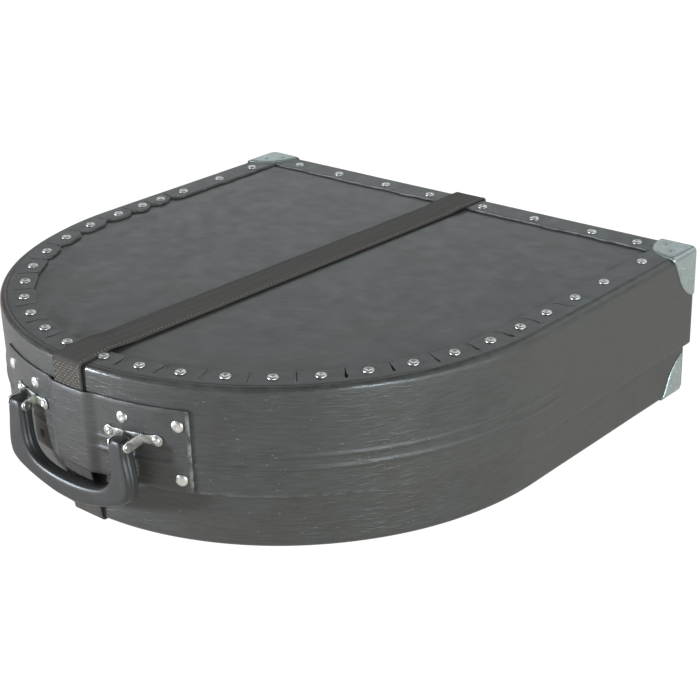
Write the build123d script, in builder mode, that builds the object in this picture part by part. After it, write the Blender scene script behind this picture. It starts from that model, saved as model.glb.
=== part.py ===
# A D-shaped cymbal case of vulcanised fibre. A deep lid telescopes over a base of the same outline,
# and a web strap with a roller buckle holds the two together. All sizes are in millimetres.
# The case lies flat with +Z up and its rounded front, where the handle hangs, towards -Y.
# The origin is on the floor, under the middle of the whole case with its handle and buckle.
import os
from math import asin, cos, degrees, radians, sin

from build123d import *

os.makedirs("parts", exist_ok=True)

# Fibre shells
lid_width = 600.0  # over the lid's two straight sides, and twice the radius of its front curve
side_length = 280.0  # from the centre of the front curve to the lid's back
shell_height = 159.0  # from the base's underside to the lid's top
base_showing = 54.0  # height of base that the closed lid leaves uncovered
fibre = 2.5  # thickness of the fibre sheet
wall_gap = 4.5  # between the lid's wall and the base's wall
rim_gap = 0.6  # between the base's rim and the lid's panel
panel_gap = 0.2  # between a panel's edge and the wall round it
lid_corner = 8.0  # radius of the lid's two back corners
base_corner = 6.0
fold_radius = 4.0  # where the wall's edge is folded over the panel
flange_width = 36.0  # from the wall's outer face to the folded flange's inner edge
slit_length = 24.0  # cuts that let the flange fold round the curve
slit_width = 1.6

# Double bead rolled into the lid's wall
bead_heights = (28.5, 40.0)  # above the lid's lower edge
bead_width = 6.0
bead_rise = 1.2
bead_runout = 60.0  # how far a bead runs on along each straight side

# Rivets
rivet_head = 5.2  # head radius of the rivets round the panels
rivet_rise = 2.4
rivet_crown = 1.5  # radius of the flat on each head; the case stands on those below
rivet_shank = 2.0
rivet_tail = 4.0  # radius of the clenched tail and its washer
tail_height = 0.8
rivet_inset = 24.0  # from a shell's outer face
rivet_pitch = 42.0  # along the curve, about
hole_gap = 0.1
seat_gap = 0.05  # lets a flat head or tail sit on a round wall
drill_depth = 12.0
lid_right_shares = (0.15, 0.32, 0.50, 0.75)  # places along the straight side, as set by hand
lid_left_shares = (0.13, 0.23, 0.36, 0.57, 0.77)
lid_back_shares = (-0.78, -0.565, -0.323, -0.105, 0.145, 0.377, 0.623, 0.807)
base_side_shares = (0.17, 0.34, 0.51, 0.68)
base_back_shares = (-0.72, -0.49, -0.26, 0.26, 0.49, 0.72)

# Steel corner plates
cap_thickness = 1.5
lid_cap_reach = 47.0
base_cap_reach = 38.0
cap_rivet_head = 3.4
cap_rivet_rise = rivet_rise - cap_thickness
cap_rivet_tail = 3.2
cap_rivet_shares = ((0.62, 0.32), (0.32, 0.62))  # of the plate's reach, from its two edges

# Splices that close the two wall strips at the back
splice_width = 70.0
splice_x = 120.0  # the lid's is left of the middle, the base's right of it
splice_margin = 4.0
splice_rivet_inset = 16.0
splice_rivet_rows = 3

# Foam pads glued to the panels
pad_thickness = 10.0
pad_margin = 38.0  # from the lid's outer face to the pad's edge
pad_corner = 16.0
pad_rounding = 3.0

# Web strap
web_width = 38.0
web = 1.8  # thickness of the webbing
strap_front_x = -9.0  # the strap lies a little askew
strap_back_x = 9.5
web_gap = 0.3  # between the webbing and what it passes
web_seat = 0.1  # between the webbing and the fibre that it lies on
strap_bend = 5.0
strap_split = 0.4  # between the strap's two lengths, under the handle plate
strap_overlap = 30.0  # a straight run's share of each corner
strap_rivet_gap = 2.0  # between the strap's edge and the nearest rivet head

# Handle plate on the lid's front wall
plate_thickness = 2.3
plate_half_arc = 126.5
plate_bottom = 1.0  # above the lid's lower edge
plate_height = 80.0
plate_rivet_inset = 11.0
plate_rivet_step = 55.5  # from the outer rivets to the inner ones
plate_rivet_heights = (12.0, 64.5)  # above the plate's lower edge
channel_side_gap = 1.0  # beside the strap, where the plate bridges it

# Handle and its brackets
pin_height = 47.0  # above the lid's lower edge
pin_reach = 9.0  # in front of the lid's front
pin_radius = 2.5
pin_gap = 0.05  # running clearance in the handle
pin_head = 4.3
pin_head_height = 1.4
pin_dimple = 1.8
pin_dimple_depth = 0.9
leg_spacing = 140.0
leg_width = 18.0
leg_depth = 17.0
leg_top = 8.5  # above the pin
handle_lean = 7.0  # the hanging handle leans out past the plate, in degrees
handle_drop = 74.0  # from the pins to the lowest point of the grip
grip_height = 23.0
grip_bow = 16.0  # how far the grip's ends rise above its middle
window_bow = 9.0
handle_outer_corner = 20.0
handle_inner_corner = 12.0
handle_rounding = 5.0
ear_thickness = 1.6
ear_gap = 0.4
ear_radius = 5.0
ear_root = 4.0
bracket_length = 62.0
bracket_height = 10.5
bracket_thickness = 1.5
bracket_rise = 2.2  # centre of the bracket's strip above the pin
bracket_rivet_head = 4.2
bracket_rivet_rise = 2.0
bracket_rivet_inset = 6.0

# Roller buckle at the back
heel_rise = 47.6  # of the heel bar above the lid's lower edge
buckle_pitch = 30.0  # from the heel bar up to the roller
heel_radius = 2.0
roller_bar = 1.6
roller_radius = 3.0
roller_gap = 0.08
roller_end_gap = 0.4
frame_bar = 4.0
frame_overhang = 3.0
frame_side_gap = 1.0  # between the webbing's edge and the frame
strap_offset = 2.5  # from the lid's back to the lower strap's inner face
upper_offset = 0.7  # from the lid's back to the upper strap's inner face
tongue_width = 5.0
tongue_thickness = 2.2
tongue_eye = 1.5
tongue_overhang = 4.0
tongue_seat = 0.1
slot_width = 7.0
heel_slot = 16.0
tail_slot = (-9.0, 20.5)  # its ends, from the heel bar's height; the tongue swings in it
crossing_drop = 7.0  # where the strap starts to cross, below the roller
crossing_rise = 6.0  # where it ends, above the heel bar
tail_length = 72.0  # of the strap's free end below the heel bar
fold_gap = 0.2
fold_taper = (5.0, 17.0)
fold_bend = 6.0
fold_length = 47.0  # of the strap's sewn end below the heel bar
fold_rivet_drops = (22.0, 30.0)
fold_rivet_head = 3.4
fold_rivet_rise = 1.2
keeper_thickness = 1.4
keeper_height = 9.0
keeper_drop = 39.0  # from the heel bar down to the keeper's middle
keeper_gap = 0.3

# Places worked out from the sizes above
lid_radius = lid_width / 2
base_inset = fibre + wall_gap
underside = rivet_rise
lid_edge = underside + base_showing
lid_top = underside + shell_height
lid_panel_bottom = lid_top - 2 * fibre
base_panel_top = underside + 2 * fibre
base_rim = lid_panel_bottom - rim_gap
strap_run = lid_radius + bead_rise + web_gap + web / 2  # radius of the strap's middle on the front wall
channel_radius = strap_run + web / 2 + web_gap
strap_top = lid_top + web_seat + web / 2
strap_bottom = underside - web_seat - web / 2
plate_face = lid_radius + plate_thickness
plate_z = lid_edge + plate_bottom
pin_z = lid_edge + pin_height
leg_x = leg_spacing / 2
lean = radians(handle_lean)
grip_front = (handle_drop - handle_rounding) * sin(lean) + handle_rounding
grip_front += (leg_depth / 2 - handle_rounding) * cos(lean)
front_reach = lid_radius + pin_reach + grip_front
heel_height = lid_edge + heel_rise
roller_z = heel_height + buckle_pitch
upper_run = side_length + upper_offset + web / 2
lower_run = side_length + strap_offset + web / 2
turn_radius = heel_radius + web_gap + web / 2
bar_run = lower_run + turn_radius
tail_run = bar_run + turn_radius + web + web_gap
rear_reach = tail_run + web / 2 + keeper_gap + keeper_thickness
curve_y = (front_reach - rear_reach) / 2
pin_y = curve_y - lid_radius - pin_reach
curve_axis = Axis((0, curve_y, 0), (0, 0, 1))


def level(height):
    # horizontal plane centred on the front curve
    return Plane(origin=(0, curve_y, height))


def outward(angle):
    # direction out of the front curve; angles are counted from the front, right positive
    return (sin(radians(angle)), -cos(radians(angle)), 0)


def section(angle):
    # upright plane through the curve's axis, for outlines of radius and height
    return Plane(origin=(0, curve_y, 0), x_dir=outward(angle), z_dir=outward(angle - 90))


def wall_plane(angle, radius, height):
    # plane that touches a wall of the front curve, facing out
    x, y, _ = outward(angle)
    place = (radius * x, curve_y + radius * y, height)
    return Plane(origin=place, x_dir=outward(angle + 90), z_dir=(x, y, 0))


def cross_plane(x):
    # upright plane facing +X, for outlines of distance behind the curve's centre and height
    return Plane(origin=(x, curve_y, 0), x_dir=(0, 1, 0), z_dir=(1, 0, 0))


def case_shape(sketch, inset, corner):
    # the D outline of the case, drawn inside the lid's outer face by an inset
    radius = lid_radius - inset
    back = side_length - inset
    Circle(radius)
    with Locations((0, radius)):
        Rectangle(2 * radius, 2 * radius, mode=Mode.SUBTRACT)
    with Locations((0, back / 2)):
        Rectangle(2 * radius, back)
    fillet(sketch.vertices().group_by(Axis.Y)[-1], corner)


def shape_block(inset, corner, bottom, top, mode=Mode.ADD):
    with BuildSketch(level(bottom)) as shape:
        case_shape(shape, inset, corner)
    extrude(shape.sketch, amount=top - bottom, mode=mode)


def curve_angles(circle):
    # rivet angles on the front curve, even on each side of the strap and clear of it
    strap_turn = degrees(strap_front_x / circle)
    clear_turn = degrees((web_width / 2 + rivet_head + strap_rivet_gap) / circle)
    angles = []
    for start, end in ((strap_turn - clear_turn, -90.0), (strap_turn + clear_turn, 90.0)):
        steps = round(abs(radians(end - start)) * circle / rivet_pitch)
        angles += [start + (end - start) * step / steps for step in range(steps + 1)]
    return sorted(angles)


def panel_rivet_places(inset, left_shares, right_shares, back_shares):
    circle = lid_radius - inset - rivet_inset
    back = side_length - inset - rivet_inset
    places = [(circle * sin(radians(angle)), -circle * cos(radians(angle))) for angle in curve_angles(circle)]
    places += [(-circle, share * side_length) for share in left_shares]
    places += [(circle, share * side_length) for share in right_shares]
    places += [(share * (lid_radius - inset), back) for share in back_shares]
    return places


def cut_flange(inset, bottom, places):
    # opens the flange's middle, its slits half way between the curve's rivets, and its rivet holes
    shape_block(inset + flange_width, pad_corner, bottom, bottom + fibre, Mode.SUBTRACT)
    reach = lid_radius - inset - flange_width + slit_length / 2 - slit_width
    angles = curve_angles(lid_radius - inset - rivet_inset)
    with BuildSketch(level(bottom)) as cuts:
        for low, high in zip(angles, angles[1:]):
            middle = (low + high) / 2
            with Locations(Location((reach * sin(radians(middle)), -reach * cos(radians(middle))), middle)):
                Rectangle(slit_width, slit_length)
        with Locations(*places):
            Circle(rivet_shank + hole_gap)
    extrude(cuts.sketch, amount=fibre, mode=Mode.SUBTRACT)


def rivet(head, rise, tail, grip):
    # domed head with a flat crown above the local origin, clenched tail below the grip
    with BuildPart() as body:
        with BuildSketch(Plane.XZ):
            with BuildLine():
                TangentArc((rivet_crown, rise), (head, 0), tangent=(1, 0))
                Polyline(
                    (head, 0), (rivet_shank, 0), (rivet_shank, -grip), (tail, -grip),
                    (tail, -grip - tail_height), (0, -grip - tail_height), (0, rise), (rivet_crown, rise),
                )
            make_face()
        revolve(axis=Axis.Z)
    return body.part


def drill(planes):
    # rivet holes, from outside through everything that the rivets hold
    with Locations(*planes):
        Cylinder(rivet_shank + hole_gap, 2 * drill_depth, mode=Mode.SUBTRACT)


def bead_points(radius, height):
    # outline of one rolled bead as radius and height, from its lower edge up
    centre = lid_edge + height
    return [
        (radius, centre - bead_width / 2), (radius + bead_rise, centre - bead_width / 5),
        (radius + bead_rise, centre + bead_width / 5), (radius, centre + bead_width / 2),
    ]


def sweep_band(points, start, end, mode=Mode.ADD):
    # turns a closed outline of radius and height round part of the front curve
    with BuildSketch(section(start)) as outline:
        Polygon(*points, align=None)
    revolve(outline.sketch, axis=curve_axis, revolution_arc=end - start, mode=mode)


def ring_points(inner, outer, bottom, top):
    return [(inner, bottom), (outer, bottom), (outer, top), (inner, top)]


def strap_slab(height, front, back):
    # flat run of webbing, askew from its front place to its back place
    half = web_width / 2
    with BuildSketch(level(height - web / 2)) as slab:
        Polygon(
            (strap_front_x - half, front), (strap_front_x + half, front),
            (strap_back_x + half, back), (strap_back_x - half, back), align=None,
        )
    extrude(slab.sketch, amount=web)


def folded_shell(inset, corner, fold, bottom, top, folded_side):
    # solid D block with its top or bottom edge rounded
    with BuildPart() as block:
        shape_block(inset, corner, bottom, top)
        fillet(block.faces().sort_by(Axis.Z)[folded_side].edges(), fold)
    return block.part


def cap_planes(inset, reach, face, up):
    # rivet planes on the corner plates: those on the flat panel, then those on the walls
    half = lid_radius - inset
    back = curve_y + side_length - inset
    flat, upright = [], []
    for side in (-1, 1):
        for near, far in cap_rivet_shares:
            x, y, z = side * (half - near * reach), back - far * reach, face + up * cap_thickness
            flat.append(Plane(origin=(x, y, z), z_dir=(0, 0, up)))
            y, z = back - near * reach, face - up * far * reach
            upright.append(Plane(origin=(side * (half + cap_thickness), y, z), z_dir=(side, 0, 0)))
            upright.append(Plane(origin=(x, back + cap_thickness, z), z_dir=(0, 1, 0)))
    return flat, upright


def splice_planes(x, back, bottom, top):
    step = (top - bottom - 2 * splice_rivet_inset) / (splice_rivet_rows - 1)
    return [
        Plane(origin=(x + side * (splice_width / 2 - splice_rivet_inset), curve_y + back,
                      bottom + splice_rivet_inset + row * step), z_dir=(0, 1, 0))
        for side in (-1, 1) for row in range(splice_rivet_rows)
    ]


# Where the rivets go
base_places = panel_rivet_places(base_inset, base_side_shares, base_side_shares, base_back_shares)
lid_places = panel_rivet_places(0, lid_left_shares, lid_right_shares, lid_back_shares)
base_cap_flat, base_cap_upright = cap_planes(base_inset, base_cap_reach, underside, -1)
lid_cap_flat, lid_cap_upright = cap_planes(0, lid_cap_reach, lid_top, 1)
base_splice_span = (base_panel_top + splice_margin, base_rim - splice_margin)
lid_splice_span = (lid_edge + splice_margin, lid_panel_bottom - splice_margin)
base_splice_planes = splice_planes(splice_x, side_length - base_inset, *base_splice_span)
lid_splice_planes = splice_planes(-splice_x, side_length, *lid_splice_span)
plate_arcs = [plate_half_arc - plate_rivet_inset, plate_half_arc - plate_rivet_inset - plate_rivet_step]
plate_planes = [
    wall_plane(side * degrees(arc / lid_radius), plate_face + seat_gap, plate_z + height)
    for side in (-1, 1) for arc in plate_arcs for height in plate_rivet_heights
]
bracket_face = plate_face + bracket_thickness
bracket_angle = degrees(asin(leg_x / bracket_face))
bracket_half_turn = degrees((bracket_length / 2 - bracket_rivet_inset) / bracket_face)
bracket_z = pin_z + bracket_rise
bracket_planes = [
    wall_plane(side * (bracket_angle + end * bracket_half_turn), bracket_face + seat_gap, bracket_z)
    for side in (-1, 1) for end in (-1, 1)
]

# Base wall: one strip bent to the outline, its lower edge slit and folded under the panel
with BuildPart() as base_wall:
    shape_block(base_inset, base_corner, underside, base_rim)
    fillet(base_wall.faces().sort_by(Axis.Z)[0].edges(), fold_radius)
    shape_block(base_inset + fibre, base_corner - fibre, underside + fibre, base_rim, Mode.SUBTRACT)
    cut_flange(base_inset, underside, base_places)
    drill(base_cap_flat + base_cap_upright + base_splice_planes)
base_wall.part.label = "base_wall"
export_step(base_wall.part, "parts/base_wall.step")

# Base panel: lies on the folded flange inside the wall
with BuildPart() as base_panel:
    shape_block(base_inset + fibre + panel_gap, base_corner - fibre, underside + fibre, base_panel_top)
    with BuildSketch(level(underside + fibre)):
        with Locations(*base_places):
            Circle(rivet_shank + hole_gap)
    extrude(amount=fibre, mode=Mode.SUBTRACT)
    drill(base_cap_flat)
base_panel.part.label = "base_panel"
export_step(base_panel.part, "parts/base_panel.step")

# Base rivets: their heads are what the case stands on
panel_rivet = rivet(rivet_head, rivet_rise, rivet_tail, 2 * fibre)
with BuildPart() as base_rivets:
    with Locations(*[Plane(origin=(x, curve_y + y, underside), z_dir=(0, 0, -1)) for x, y in base_places]):
        add(panel_rivet)
base_rivets.part.label = "base_rivets"
export_step(base_rivets.part, "parts/base_rivets.step")

# Lid wall: folded over the top panel, with two beads rolled round the front
with BuildPart() as lid_wall:
    shape_block(0, lid_corner, lid_edge, lid_top)
    fillet(lid_wall.faces().sort_by(Axis.Z)[-1].edges(), fold_radius)
    for height in bead_heights:
        sweep_band(bead_points(lid_radius, height), -90, 90)
        for side in (-1, 1):
            with BuildSketch(Plane(origin=(0, curve_y, 0), x_dir=(side, 0, 0), z_dir=(0, -side, 0))) as bead:
                Polygon(*bead_points(lid_radius, height), align=None)
            extrude(bead.sketch, amount=-side * bead_runout)
    shape_block(fibre, lid_corner - fibre, lid_edge, lid_top - fibre, Mode.SUBTRACT)
    for height in bead_heights:
        sweep_band(bead_points(lid_radius - fibre, height), -90, 90, Mode.SUBTRACT)
    cut_flange(0, lid_top - fibre, lid_places)
    drill(lid_cap_flat + lid_cap_upright + lid_splice_planes + plate_planes + bracket_planes)
lid_wall.part.label = "lid_wall"
export_step(lid_wall.part, "parts/lid_wall.step")

# Lid panel
with BuildPart() as lid_panel:
    shape_block(fibre + panel_gap, lid_corner - fibre, lid_panel_bottom, lid_top - fibre)
    with BuildSketch(level(lid_panel_bottom)):
        with Locations(*lid_places):
            Circle(rivet_shank + hole_gap)
    extrude(amount=fibre, mode=Mode.SUBTRACT)
    drill(lid_cap_flat)
lid_panel.part.label = "lid_panel"
export_step(lid_panel.part, "parts/lid_panel.step")

# Lid rivets
with BuildPart() as lid_rivets:
    with Locations(*[Plane(origin=(x, curve_y + y, lid_top)) for x, y in lid_places]):
        add(panel_rivet)
lid_rivets.part.label = "lid_rivets"
export_step(lid_rivets.part, "parts/lid_rivets.step")

# Corner plates: pressed steel over each back corner, three leaves in one piece
cap_flat_rivet = rivet(cap_rivet_head, cap_rivet_rise, cap_rivet_tail, cap_thickness + 2 * fibre)
cap_upright_rivet = rivet(cap_rivet_head, cap_rivet_rise, cap_rivet_tail, cap_thickness + fibre)
shells = {
    "base": (
        folded_shell(base_inset - cap_thickness, base_corner + cap_thickness, fold_radius + cap_thickness,
                     underside - cap_thickness, lid_edge, 0),
        folded_shell(base_inset, base_corner, fold_radius, underside, lid_edge, 0),
        base_inset, underside, base_cap_reach, base_cap_flat, base_cap_upright,
    ),
    "lid": (
        folded_shell(-cap_thickness, lid_corner + cap_thickness, fold_radius + cap_thickness,
                     lid_edge, lid_top + cap_thickness, -1),
        folded_shell(0, lid_corner, fold_radius, lid_edge, lid_top, -1),
        0, lid_top, lid_cap_reach, lid_cap_flat, lid_cap_upright,
    ),
}
for shell, (outer, inner, inset, face, reach, flat, upright) in shells.items():
    for side, sign in (("left", -1), ("right", 1)):
        with BuildPart() as cap:
            add(outer)
            add(inner, mode=Mode.SUBTRACT)
            with Locations((sign * (lid_radius - inset), curve_y + side_length - inset, face)):
                Sphere(reach, mode=Mode.INTERSECT)
            drill(flat + upright)
        cap.part.label = f"{shell}_corner_{side}"
        export_step(cap.part, f"parts/{shell}_corner_{side}.step")
    with BuildPart() as cap_rivets:
        with Locations(*flat):
            add(cap_flat_rivet)
        with Locations(*upright):
            add(cap_upright_rivet)
    cap_rivets.part.label = f"{shell}_corner_rivets"
    export_step(cap_rivets.part, f"parts/{shell}_corner_rivets.step")

# Splices: a strip of fibre inside each back wall, riveted across the joint in the wall
splice_rivet = rivet(rivet_head, rivet_rise, rivet_tail, 2 * fibre)
splices = {
    "base": (splice_x, side_length - base_inset, base_splice_span, base_splice_planes),
    "lid": (-splice_x, side_length, lid_splice_span, lid_splice_planes),
}
for shell, (x, back, (bottom, top), planes) in splices.items():
    with BuildPart() as splice:
        middle = (x, curve_y + back - fibre, (bottom + top) / 2)
        with BuildSketch(Plane(origin=middle, x_dir=(1, 0, 0), z_dir=(0, -1, 0))):
            Rectangle(splice_width, top - bottom)
        extrude(amount=fibre)
        drill(planes)
    splice.part.label = f"{shell}_splice"
    export_step(splice.part, f"parts/{shell}_splice.step")
    with BuildPart() as splice_rivets:
        with Locations(*planes):
            add(splice_rivet)
    splice_rivets.part.label = f"{shell}_splice_rivets"
    export_step(splice_rivets.part, f"parts/{shell}_splice_rivets.step")

# Foam pads
for shell, bottom in (("base", base_panel_top), ("lid", lid_panel_bottom - pad_thickness)):
    with BuildPart() as pad:
        shape_block(pad_margin, pad_corner, bottom, bottom + pad_thickness)
        open_face = pad.faces().sort_by(Axis.Z)[-1 if shell == "base" else 0]
        fillet(open_face.edges(), pad_rounding)
    pad.part.label = f"{shell}_pad"
    export_step(pad.part, f"parts/{shell}_pad.step")

# Handle plate: fibre on the front wall, raised where the strap passes under it
strap_turn = degrees(strap_front_x / lid_radius)
channel_turn = degrees((web_width / 2 + channel_side_gap) / channel_radius)
bridge_turn = channel_turn + degrees(plate_thickness / channel_radius)
plate_turn = degrees(plate_half_arc / lid_radius)
plate_top = plate_z + plate_height
with BuildPart() as handle_plate:
    outline = [(lid_radius, plate_z)]
    outline += [point for height in bead_heights for point in bead_points(lid_radius, height)]
    outline += [(lid_radius, plate_top), (plate_face, plate_top)]
    beads = [point for height in bead_heights for point in bead_points(plate_face, height)]
    outline += beads[::-1] + [(plate_face, plate_z)]
    sweep_band(outline, -plate_turn, strap_turn - bridge_turn)
    sweep_band(outline, strap_turn + bridge_turn, plate_turn)
    bridge = ring_points(lid_radius, channel_radius + plate_thickness, plate_z, plate_top)
    sweep_band(bridge, strap_turn - bridge_turn, strap_turn + bridge_turn)
    hollow = ring_points(lid_radius, channel_radius, plate_z, plate_top)
    sweep_band(hollow, strap_turn - channel_turn, strap_turn + channel_turn, Mode.SUBTRACT)
    for height in bead_heights:
        crossing = bead_points(lid_radius, height)
        sweep_band(crossing, strap_turn - bridge_turn, strap_turn + bridge_turn, Mode.SUBTRACT)
    drill(plate_planes + bracket_planes)
handle_plate.part.label = "handle_plate"
export_step(handle_plate.part, "parts/handle_plate.step")

with BuildPart() as plate_rivets:
    with Locations(*plate_planes):
        add(rivet(rivet_head, rivet_rise, rivet_tail, plate_thickness + fibre + 2 * seat_gap))
plate_rivets.part.label = "plate_rivets"
export_step(plate_rivets.part, "parts/plate_rivets.step")

# Brackets: a riveted strip with two ears that hold the handle's pin
ear_inner = leg_width / 2 + ear_gap
pin_half = ear_inner + ear_thickness + seat_gap
for side, sign in (("left", -1), ("right", 1)):
    with BuildPart() as bracket:
        with BuildSketch(wall_plane(sign * bracket_angle, plate_face - bracket_height, bracket_z)):
            SlotOverall(bracket_length, bracket_height)
        extrude(amount=2 * bracket_height)
        with BuildSketch(level(bracket_z - bracket_height)) as ring:
            Circle(bracket_face)
            Circle(plate_face, mode=Mode.SUBTRACT)
        extrude(ring.sketch, amount=2 * bracket_height, mode=Mode.INTERSECT)
        for near in (-ear_inner - ear_thickness, ear_inner):
            ear_x = sign * leg_x + near
            root = pin_reach + lid_radius - (lid_radius**2 - ear_x**2) ** 0.5
            with BuildSketch(Plane(origin=(ear_x, pin_y, pin_z), x_dir=(0, 1, 0), z_dir=(1, 0, 0))) as ear:
                Circle(ear_radius)
                with Locations((root, bracket_rise)):
                    Rectangle(ear_root, bracket_height)
                make_hull()
            extrude(ear.sketch, amount=ear_thickness)
        with Locations((0, curve_y, bracket_z)):
            Cylinder(plate_face, 3 * bracket_height, mode=Mode.SUBTRACT)
        with Locations(Plane(origin=(sign * leg_x, pin_y, pin_z), z_dir=(1, 0, 0))):
            Cylinder(pin_radius, 4 * pin_half, mode=Mode.SUBTRACT)
        drill(bracket_planes)
    bracket.part.label = f"bracket_{side}"
    export_step(bracket.part, f"parts/bracket_{side}.step")

    # the pin is a through rivet with a head at each end
    with BuildPart() as handle_pin:
        facing = Plane(origin=(sign * leg_x, pin_y, pin_z), x_dir=(1, 0, 0), z_dir=(0, -1, 0))
        with BuildSketch(facing) as half:
            end = pin_half + pin_head_height
            right = [(pin_half, pin_radius), (pin_half, pin_head), (end, pin_head), (end, pin_dimple),
                     (end - pin_dimple_depth, pin_dimple), (end - pin_dimple_depth, 0)]
            Polygon(*[(-x, y) for x, y in right[::-1]], *right, align=None)
        revolve(half.sketch, axis=Axis((0, pin_y, pin_z), (1, 0, 0)))
    handle_pin.part.label = f"handle_pin_{side}"
    export_step(handle_pin.part, f"parts/handle_pin_{side}.step")

with BuildPart() as bracket_rivets:
    grip = bracket_thickness + plate_thickness + fibre + 2 * seat_gap
    with Locations(*bracket_planes):
        add(rivet(bracket_rivet_head, bracket_rivet_rise, rivet_tail, grip))
bracket_rivets.part.label = "bracket_rivets"
export_step(bracket_rivets.part, "parts/bracket_rivets.step")

# Handle: one moulding that hangs on the two pins, its legs joined by a bowed grip
handle_plane = Plane(origin=(0, pin_y, pin_z), x_dir=(1, 0, 0), z_dir=(0, -cos(lean), sin(lean)))
leg_outer = leg_x + leg_width / 2
leg_inner = leg_x - leg_width / 2
window_drop = handle_drop - grip_height
outer_end = grip_bow - handle_drop
inner_end = window_bow - window_drop
with BuildPart() as handle_grip:
    with BuildSketch(handle_plane) as outline:
        with BuildLine():
            ThreePointArc((-leg_outer, outer_end), (0, -handle_drop), (leg_outer, outer_end))
            ThreePointArc((leg_inner, inner_end), (0, -window_drop), (-leg_inner, inner_end))
            for way in (-1, 1):
                Polyline((way * leg_outer, outer_end), (way * leg_outer, leg_top),
                         (way * leg_inner, leg_top), (way * leg_inner, inner_end))
        make_face()
        low_corners = outline.vertices().sort_by(Axis.Y)[:4]
        fillet(low_corners[:2], handle_outer_corner)
        fillet(low_corners[2:], handle_inner_corner)
    extrude(outline.sketch, amount=leg_depth / 2, both=True)
    faces = handle_grip.faces().sort_by(Axis(handle_plane.origin, handle_plane.z_dir))
    fillet(faces[0].edges() + faces[-1].edges(), handle_rounding)
    with Locations(Plane(origin=(0, pin_y, pin_z), z_dir=(1, 0, 0))):
        Cylinder(pin_radius + pin_gap, 2 * leg_spacing, mode=Mode.SUBTRACT)
handle_grip.part.label = "handle_grip"
export_step(handle_grip.part, "parts/handle_grip.step")

# Upper strap: from under the handle plate over the lid and down the back, through the buckle
half_web_turn = degrees(web_width / 2 / strap_run)
with BuildPart() as strap_upper:
    with BuildSketch(section(strap_turn - half_web_turn)) as front_run:
        with BuildLine():
            FilletPolyline((strap_run, lid_edge + strap_split), (strap_run, strap_top),
                           (strap_run - 2 * strap_overlap, strap_top), radius=strap_bend)
        trace(line_width=web)
    revolve(front_run.sketch, axis=curve_axis, revolution_arc=2 * half_web_turn)
    strap_slab(strap_top, strap_overlap - lid_radius, side_length - strap_overlap)
    with BuildSketch(cross_plane(strap_back_x - web_width / 2)) as back_run:
        with BuildLine():
            FilletPolyline(
                (side_length - 2 * strap_overlap, strap_top), (upper_run, strap_top),
                (upper_run, roller_z - crossing_drop), (tail_run, heel_height + crossing_rise),
                (tail_run, heel_height - tail_length), radius=strap_bend,
            )
        trace(line_width=web)
    extrude(back_run.sketch, amount=web_width)
    with Locations((strap_back_x, curve_y + bar_run, heel_height + sum(tail_slot) / 2)):
        Box(slot_width, 2 * buckle_pitch, tail_slot[1] - tail_slot[0], mode=Mode.SUBTRACT)
strap_upper.part.label = "strap_upper"
export_step(strap_upper.part, "parts/strap_upper.step")

# Lower strap: from the plate down the front, under the base and up the back, round the heel bar
base_front = base_inset - lid_radius
base_back = side_length - base_inset
with BuildPart() as strap_lower:
    with BuildSketch(cross_plane(strap_front_x - web_width / 2)) as front_run:
        with BuildLine():
            FilletPolyline(
                (base_front + 2 * strap_overlap, strap_bottom), (base_front - web, strap_bottom),
                (-strap_run, lid_edge), radius=web,
            )
        trace(line_width=web)
    extrude(front_run.sketch, amount=web_width)
    strap_slab(strap_bottom, base_front + strap_overlap, base_back - strap_overlap)
    with BuildSketch(cross_plane(strap_back_x - web_width / 2)) as back_run:
        with BuildLine():
            FilletPolyline(
                (base_back - 2 * strap_overlap, strap_bottom), (base_back + web, strap_bottom),
                (lower_run, lid_edge), (lower_run, heel_height), radius=web,
            )
            ThreePointArc(
                (lower_run, heel_height), (bar_run, heel_height + turn_radius),
                (bar_run + turn_radius, heel_height),
            )
            FilletPolyline(
                (bar_run + turn_radius, heel_height), (bar_run + turn_radius, heel_height - fold_taper[0]),
                (lower_run + web + fold_gap, heel_height - fold_taper[1]),
                (lower_run + web + fold_gap, heel_height - fold_length), radius=fold_bend,
            )
        trace(line_width=web)
    extrude(back_run.sketch, amount=web_width)
    with Locations((strap_back_x, curve_y + bar_run, heel_height)):
        Box(slot_width, 4 * turn_radius, heel_slot, mode=Mode.SUBTRACT)
    fold_face = lower_run + web + fold_gap + web / 2
    fold_planes = [
        Plane(origin=(strap_back_x, curve_y + fold_face, heel_height - drop), z_dir=(0, 1, 0))
        for drop in fold_rivet_drops
    ]
    drill(fold_planes)
strap_lower.part.label = "strap_lower"
export_step(strap_lower.part, "parts/strap_lower.step")

with BuildPart() as fold_rivets:
    with Locations(*fold_planes):
        add(rivet(fold_rivet_head, fold_rivet_rise, fold_rivet_head, 2 * web + fold_gap))
fold_rivets.part.label = "fold_rivets"
export_step(fold_rivets.part, "parts/fold_rivets.step")

# Keeper: a loop round the lower strap that holds the free end
with BuildPart() as strap_keeper:
    keeper_in = lower_run - web / 2 - keeper_gap
    keeper_out = tail_run + web / 2 + keeper_gap
    with BuildSketch(Plane(origin=(strap_back_x, curve_y + (keeper_in + keeper_out) / 2,
                                   heel_height - keeper_drop - keeper_height / 2))):
        wide = web_width + 2 * keeper_gap
        deep = keeper_out - keeper_in
        Rectangle(wide + 2 * keeper_thickness, deep + 2 * keeper_thickness)
        Rectangle(wide, deep, mode=Mode.SUBTRACT)
    extrude(amount=keeper_height)
strap_keeper.part.label = "strap_keeper"
export_step(strap_keeper.part, "parts/strap_keeper.step")

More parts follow.
